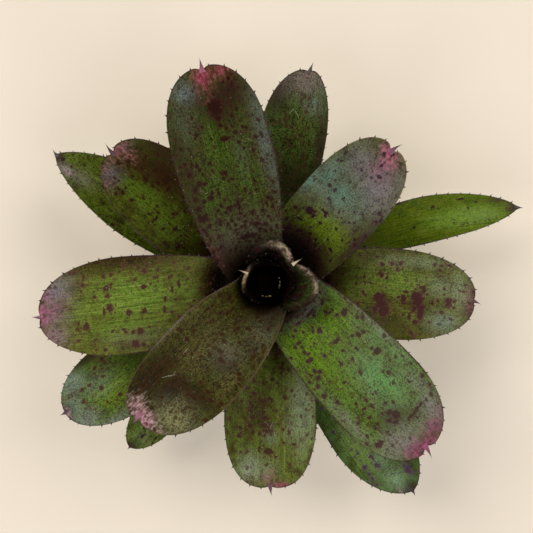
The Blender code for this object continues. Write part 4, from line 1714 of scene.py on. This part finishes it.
                       (48, 0, 1.8, 2.2), (49, 8, 1.5, 1.5), (51, -9, 1.5, 2), (53, 12, 1.5, 1.2),
                       (54, -13, 1.2, 1.5), (57, -4, 1.2, 1.2), (59, 1, 1.4, 1.6), (62, 22, 1.5, 1)),
                freckled=((46, -7, 16, 9, 0.7), (66, 10, 14, 14, 0.6)),
                dusk_and_shade=((44, -8, 16, 7, 0.4), (34, -2, 6, 4, 0.4), (88, 0, 9, 28, 1.4),
                      (46, -20, 16, 5, 0.3)),
                bloom=((11, -11, 7, 6, 0.8), (10, -2, 7, 6, 0.3)),
                cool_film_and_reflection=((42, 18, 18, 6, 0.85), (11, -10, 5, 4, 0.4), (33, 11, 7, 3, 0.5), (28, 0, 5, 4, 0.3)),
                lime=((20, 4, 14, 12, 0.8), (60, 10, 12, 8, 0.7), (48, 8, 14, 6, 0.5)),
                flush=((2, 6, 3, 7, 0.9), (5, -1, 5, 5, 0.7), (9, 1, 4, 3, 0.4))),
            spine_root="#5c2f40",
            lint=(Lint(34, -2, 95, 5, 120, 0.07), Lint(33, 0, 140, 4, -90, 0.08),
                  Lint(36, -3, 60, 5, 90, 0.07), Lint(48, 14, 80, 5, 60, 0.08),
                  Lint(31, 2, 30, 4, 100, 0.08))),
    ]


def outer_leaves() -> list[Leaf]:
    """Size the open leaves below those, each with its own skin and markings.

    Returns:
        The leaves, from the innermost outwards.
    """
    # Dusk ovals at a leaf's base are painted shade where the leaf goes down under the others into the cup
    dark_edge = "#24131e"
    return [
        Leaf(
            LeafPlan("leaf_07", 9, 140, 113, 76, 140, 50, neck_share=1, tip_length=46, tip_power=2.4,
                     spine_length=7, notch=2.2, spine_turn=-20),
            LeafSkin("leaf_07_skin_spotted", green="#404d04", lime="#495f14", shade="#2c2c06",
                     bloom="#6c5470", dusk_and_shade="#301607", flush="#924052", blot="#371f0c", frost=0.15,
                     grit=1.15, mauve="#643c34", seed=7, stipple=0.18, freckles=0.55, spots=0.36,
                     stripes=0.15),
            Markings(
                blots=((8, 2, 2, 1.5), (12, -2, 2.5, 2), (17, -2, 1.2, 1.2), (25, -1, 2.5, 1.5),
                       (26, -8, 1.5, 2), (20, 13, 1.8, 1.8), (20, 10, 1, 1), (31, 8, 1.4, 1),
                       (34, -8, 3, 4), (38, -5, 1.5, 2.5), (43, 12, 1.2, 1.2), (49, 4, 1.4, 1.4),
                       (50, 14, 1, 1), (53, -1, 1.5, 1), (55, 10, 1.5, 2), (55, 20, 1.3, 1.3),
                       (62, 17, 1.8, 1.4), (60, 11, 1, 1), (43, 15, 1, 1)),
                freckled=((20, -6, 12, 10, 0.8), (66, 0, 14, 26, 0.4)),
                dusk_and_shade=((32, -10, 13, 8, 0.75), (18, -5, 8, 6, 0.6), (22, -18, 14, 7, 0.55),
                      (88, 0, 12, 28, 1.6)),
                bloom=((9, 10, 6, 6, 0.6), (5, -8, 5, 6, 0.25)),
                lime=((30, 7, 18, 8, 0.9), (48, 12, 16, 8, 0.6)),
                flush=((4, -3, 5, 9, 0.8), (10, -4, 7, 7, 0.6), (4, 9, 4, 6, 0.6), (10, 15, 7, 4, 0.5))),
            spine_root="#4a2a38"),
        Leaf(
            LeafPlan("leaf_08", 10, 355, 117, 70, 355, 51.5, tip_length=46, tip_slope=-5, spine_turn=-29,
                     spine_length=4.8, notch=0.8),
            LeafSkin("leaf_08_skin_banded", green="#53561d", lime="#5b6f28", shade="#3b3e12",
                     bloom="#929d77", cool_film_and_reflection="#6d8278", flush="#571a34", blot="#552d2f", frost=0.1,
                     mauve="#502a2c", seed=8, stipple=0.1, freckles=0.55, spots=0.5, stripes=0.15),
            Markings(
                blots=((12, -5, 1.2, 1.2), (15, -2, 2.4, 3.4), (21, -2, 1, 1.2), (24, -3, 1.2, 1.8),
                       (30, -9, 2.4, 6), (32, -2, 3.4, 5.6), (29, 4, 1.2, 3), (34, 0, 2, 3),
                       (33, -15, 1, 2), (36, -12, 1.2, 3), (40, -2, 2, 2.6), (43, 17, 1, 1),
                       (48, 17, 1.5, 1.2), (50, 9, 1.2, 1.5), (53, 10, 1.4, 2), (53, 16, 1.6, 1.4),
                       (50, -10, 3.8, 4), (52, -6, 3.2, 3.6), (54, -3, 3, 3.6), (55, -10, 1.5, 2.5),
                       (59, 5, 1.2, 1), (67, 4, 1, 1.2), (56, 20, 1, 1)),
                freckled=((34, -6, 8, 12, 0.6), (54, -6, 8, 10, 0.6), (52, 13, 8, 6, 0.3)),
                dusk_and_shade=((3, -5, 4, 6, 0.6), (95, 0, 13, 30, 1.6), (46, -16, 14, 6, 0.3), (31, -3, 5, 8, 0.35),
                      (52, -7, 6, 7, 0.4)),
                bloom=((10, 4, 7, 12, 0.7), (42, 19, 14, 4, 0.5)),
                cool_film_and_reflection=((17, -14, 10, 7, 0.9), (18, 6, 12, 7, 0.55), (30, 19, 16, 4, 0.5)),
                lime=((42, 6, 16, 9, 0.9), (62, 4, 14, 14, 0.6), (36, -12, 8, 6, 0.4)),
                flush=((3, 0, 5, 11, 0.85), (6, -6, 5, 5, 0.4))),
            spine_root="#4f2c3a"),
        Leaf(
            LeafPlan("leaf_09", 11, 213, 137, 60, 213, 45, tip_length=42, tip_power=2, tip_slope=-8,
                     spine_length=3.6, notch=0),
            LeafSkin("leaf_09_skin_spotted", green="#4f6c16", lime="#5b7515", shade="#3f4716",
                     bloom="#919598", cool_film_and_reflection="#7d9184", flush="#4e2e43", blot="#573524", grit=1.3, seed=9,
                     stipple=0.16, freckles=0.45, spots=0.34, margin="#2a1724"),
            Markings(
                blots=((13, 0, 1.8, 1.6), (16, -6, 3, 1.1), (21, -6, 2.4, 1.1), (26, -1, 1.6, 1.8),
                       (33, 8, 2, 1.2), (36, -15, 1.5, 1.8), (38, -11, 1, 1), (30, 10, 1, 1)),
                freckled=((34, -14, 8, 8, 0.4),),
                dusk_and_shade=((2, 0, 4, 5, 0.6), (30, -20, 14, 3, 0.6), (60, 0, 14, 24, 0.3)),
                bloom=((9, 10, 8, 8, 0.7), (20, 20, 16, 4, 0.6), (24, -4, 12, 8, 0.3)),
                cool_film_and_reflection=((13, -12, 8, 6, 0.9), (8, 0, 7, 10, 0.5)), lime=((30, 4, 18, 10, 0.8),),
                flush=((1.5, 0, 3, 5, 0.8),)),
            spine_root="#3c2430"),
        Leaf(
            LeafPlan("leaf_10", 12, 80, 124, 60, 80, 39.5, tip_length=42, tip_power=2, tip_shift=-0.17,
                     tip_slope=-5, spine_turn=-18, spine_length=6),
            LeafSkin("leaf_10_skin_dusky", green="#405c1e", lime="#46541c", shade="#2a2c0b",
                     bloom="#7c6a6a", cool_film_and_reflection="#728d7d", dusk_and_shade="#2c2017", flush="#6b5450", blot="#483822",
                     grit=1.75, seed=10, stipple=0.22, freckles=0.66, spots=0.4, stripes=0.15),
            Markings(
                blots=((38, -3, 1.4, 2.4), (40, 0, 1.2, 1), (38, 6, 1, 1), (45, 2, 1, 1), (49, -7, 2, 1.6),
                       (50, 8, 1.2, 1.2), (58, 3, 1.2, 1.2), (43, -12, 1, 1), (27, 12, 1, 1),
                       (72, -2, 1, 3)),
                freckled=((46, 0, 26, 16, 0.4),),
                dusk_and_shade=((14, 14, 14, 5, 0.6), (44, -17, 20, 3, 0.5), (66, 0, 12, 20, 0.4)),
                bloom=((8, 0, 9, 14, 0.9),), cool_film_and_reflection=((20, -7, 6, 7, 0.7),), lime=((34, -2, 14, 8, 0.6),),
                flush=((3, 0, 4, 6, 0.5),)),
            spine_root="#43303a",
            lint=(Lint(24, 4, 150, 4, 20, 0.12), Lint(25, 3, 215, 4.5, 25, 0.12))),
        Leaf(
            LeafPlan("leaf_11", 13, 304, 150, 46, 305, 45, tip_length=48, tip_power=1.6, tip_shift=0.12,
                     tip_slope=-12, spine_length=4, notch=0),
            LeafSkin("leaf_11_skin_green", green="#48642d", lime="#5e7338", shade="#374313",
                     bloom="#636a5e", cool_film_and_reflection="#8eaf86", flush="#4a2c3c", blot="#5a4058", grit=0.75, seed=11,
                     stipple=0.1, freckles=0.18, spots=0.12, stripes=0.2, margin=dark_edge),
            Markings(
                blots=((26, -8, 3, 1.6), (32, -8, 2.4, 1.3), (16, -3, 1.2, 0.8), (39, -13, 1.2, 1),
                       (14, 5, 5, 2.4)),
                dusk_and_shade=((2, 0, 5, 6, 0.9), (16, 8, 6, 3, 0.6)),
                cool_film_and_reflection=((14, -4, 12, 6, 0.7), (28, -4, 12, 5, 0.5)),
                lime=((42, -12, 20, 6, 0.9), (70, -4, 16, 10, 0.6)), flush=((5, -6, 6, 2.5, 0.5),)),
            tooth_root=dark_edge, spine_root=dark_edge),
        Leaf(
            LeafPlan("leaf_12", 14, 149, 144, 48, 149, 44, tip_length=83, tip_power=1.45, tip_slope=-8,
                     spine_turn=-40, spine_length=3.8, notch=0),
            LeafSkin("leaf_12_skin_green", green="#4e620e", lime="#475113", shade="#30350a",
                     bloom="#94808c", cool_film_and_reflection="#606a66", flush="#7a5a66", grit=1.15, seed=12, stipple=0.18,
                     freckles=0.4, spots=0.22, stripes=0.2, margin=dark_edge),
            Markings(blots=((12, 1, 1, 1), (15, 3, 1, 1), (26, -4, 0.9, 0.9)),
                freckled=((50, -12, 30, 6, 0.4),), dusk_and_shade=((2, 0, 3, 5, 0.7), (50, -20, 40, 4, 0.6)),
                bloom=((11, 4, 7, 3, 0.7),), cool_film_and_reflection=((20, 4, 7, 4, 0.4),), lime=((34, 2, 20, 6, 0.8),),
                flush=((12, 5, 6, 2, 0.6),)),
            tooth_root=dark_edge, spine_root=dark_edge),
        Leaf(
            LeafPlan("leaf_13", 15, 16.5, 155, 42, 26, 29, tip_length=66, tip_power=1.5, tip_slope=-8,
                     bow=5, spine_length=3.8, notch=0),
            LeafSkin("leaf_13_skin_plain", green="#525f07", lime="#5d7721", shade="#3f5508",
                     bloom="#6b7a55", cool_film_and_reflection="#6b7a55", dusk_and_shade="#3c2a26", flush="#5f4246", blot="#3c2c22",
                     grit=0.6, seed=13, stipple=0, freckles=0.08, spots=0.03, stripes=0.12,
                     margin="#33202a"),
            Markings(blots=((30, 3, 1, 0.8), (34, 9, 3, 0.9), (25, 6, 1.5, 0.7), (70, 7, 0.7, 0.7)),
                dusk_and_shade=((2, 0, 6, 5, 0.9), (10, 6, 9, 3, 0.8), (95, 0, 14, 26, 0.4)),
                bloom=((24, -2, 14, 5, 0.3),), lime=((34, -2, 26, 7),)),
            slot="plain_leaf_skin", tooth_root="#33202a", spine_root="#33202a"),
        Leaf(
            LeafPlan("leaf_14", 16, 230.5, 130, 32, 230, 29, tip_length=36, tip_power=1.7, tip_slope=-12,
                     spine_length=2.4, notch=0),
            LeafSkin("leaf_14_skin_green", green="#636c2b", lime="#617a36", shade="#3f4f18",
                     bloom="#66705c", seed=14, stipple=0.08, freckles=0.2, spots=0.14, stripes=0.2,
                     margin=dark_edge),
            Markings(blots=((11, 2, 2, 1.2),), dusk_and_shade=((1, 0, 3, 6, 0.9), (8, 0, 10, 1.2, 0.4)),
                cool_film_and_reflection=((10, 3, 5, 3, 0.4),), lime=((14, -2, 10, 6, 0.6),)),
            tooth_root=dark_edge, spine_root=dark_edge),
    ]


def young_leaves() -> list[Leaf]:
    """Size the rolled leaves of the cup and its heart.

    Returns:
        The leaves, from the innermost outwards.
    """
    rows = {"sheath_rows": 24, "blade_rows": 44, "columns": 64}
    cup = {"slot": "cup_leaf_skin", **rows,
           "back": LeafBack(green="#46502c", maroon="#3c2a2c", silver="#6e7264", gloss=0.05)}
    # The heart sits deep in the cup: its near-black underside is painted shade
    heart = {"slot": "heart_leaf_skin", **rows,
             "back": LeafBack(green="#0a0a06", maroon="#080604", silver="#0d0d09", gloss=0)}
    rolled = {"growth": Growth.HEART, "spine_length": 0, "notch": 0}
    # Near-black skin colours and full dusk ovals of the heart leaves: painted shade deep in the cup
    dark = {"green": "#060604", "lime": "#060604", "shade": "#040403", "dusk_and_shade": "#030302",
            "flush": "#0b0a07", "mauve": "#080705", "pale": "#0b0a07", "margin": "#050504",
            "freckles": 0.3, "spots": 0.1, "stripes": 0, "gloss": 0}
    return [
        Leaf(
            LeafPlan("heart_leaf_1", -1, 20, 4.4, 67, 20, 18, tip_length=8, tip_slope=98, **rolled),
            LeafSkin("heart_leaf_1_skin", seed=21, **dark),
            Markings(flush=((0, 0, 1.2, 4),), dusk_and_shade=((20, 0, 18, 60, 1.5),), edge_reach=-4),
            tooth_start=400, **heart),
        Leaf(
            LeafPlan("heart_leaf_2", 0, 317, 7.6, 75, 317, 25, tip_length=10, tip_slope=92, **rolled),
            LeafSkin("heart_leaf_2_skin", seed=22, **dark),
            Markings(flush=((0, 0, 1.2, 4),), dusk_and_shade=((22, 0, 20, 60, 1.5),), edge_reach=-4),
            tooth_start=19, tooth_gap=(2.2, 2.8), tooth_root="#a0965f", **heart),
        # The cup leaves' near-black inner faces and their strong dusk ovals are painted shade inside the cup
        Leaf(
            LeafPlan("cup_leaf_1", 1, 153, 12, 88, 153, 36, tip_length=12, tip_slope=72, growth=Growth.CUP,
                     lobes=(1.0, 1.0), lip_roll=1.6, lip_reach=4.5, spine_length=4.4, spine_turn=10,
                     spine_lean=58, spine_width=2, notch=0.6),
            LeafSkin("cup_leaf_1_skin", green="#0b0a06", lime="#0b0a06", shade="#070603", dusk_and_shade="#040302",
                     bloom="#93805c", cool_film_and_reflection="#93805c", flush="#9a7f60", mauve="#4e3c2a", pale="#b5a27e",
                     seed=23, freckles=0.4, spots=0.1, stripes=0, stipple=0.1, gloss=0, margin="#0a0805"),
            Markings(
                flush=((1, 2, 2.6, 4.6, 1.1),), bloom=((1, 2, 2.4, 4.4, 0.8),),
                dusk_and_shade=((26, 0, 20, 60, 1.6), (8, -14, 8, 6, 1.3), (8, 14, 8, 6, 1.3)), edge_reach=0.5),
            tooth_root="#2a2418", spine_root="#a8977a", **cup),
        Leaf(
            LeafPlan("cup_leaf_2", 2, 36, 18.3, 99, 36, 52, tip_length=14, tip_slope=55, growth=Growth.CUP,
                     lobes=(10.0, 5.5), lip_roll=2.6, lip_reach=6.5, spine_length=5, spine_turn=-6,
                     spine_lean=50, spine_width=2.2, notch=2),
            LeafSkin("cup_leaf_2_skin", green="#181e0a", lime="#2f3d12", shade="#0f1206", dusk_and_shade="#060503",
                     bloom="#b4a486", cool_film_and_reflection="#4a5038", flush="#8a5560", mauve="#6a4a42", pale="#bcab8e",
                     seed=24, freckles=0.6, spots=0.2, stripes=0.3, stipple=0.2, grit=1.6, gloss=0.05,
                     margin="#241d14"),
            Markings(flush=((1, 4, 2.2, 4, 1.1), (1, -5, 1.6, 4, 0.9)),
                bloom=((1.5, 10, 2.8, 6, 0.9), (0, -3, 1.6, 4, 0.9), (0, -15, 1.3, 9, 1.1),
                       (2.2, -12.5, 1.3, 2.6, 0.8)),
                lime=((9, -12, 8, 9, 0.8), (6, 4, 5, 8, 0.5)),
                freckled=((2, 11, 6, 12, 0.9), (10, -10, 10, 12, 0.8)),
                dusk_and_shade=((34, 0, 20, 60, 1.6), (12, 12, 7, 14, 1.1), (16, -2, 9, 8, 1.2)), edge_reach=5),
            tooth_root="#2e261a", spine_root="#b8a988", **cup),
    ]


def main() -> None:
    """Build the plant and the studio, piece by piece."""
    logging.basicConfig(level=logging.INFO, format="%(message)s")
    Stem().build()
    log.info("built the stem")
    for leaf in young_leaves() + inner_leaves() + outer_leaves():
        piece = leaf.build()
        log.info("built %s with %d faces", piece.name, len(piece.data.polygons))
    Studio().build()
    log.info("wrote the sizes")


if __name__ == "__main__":
    main()
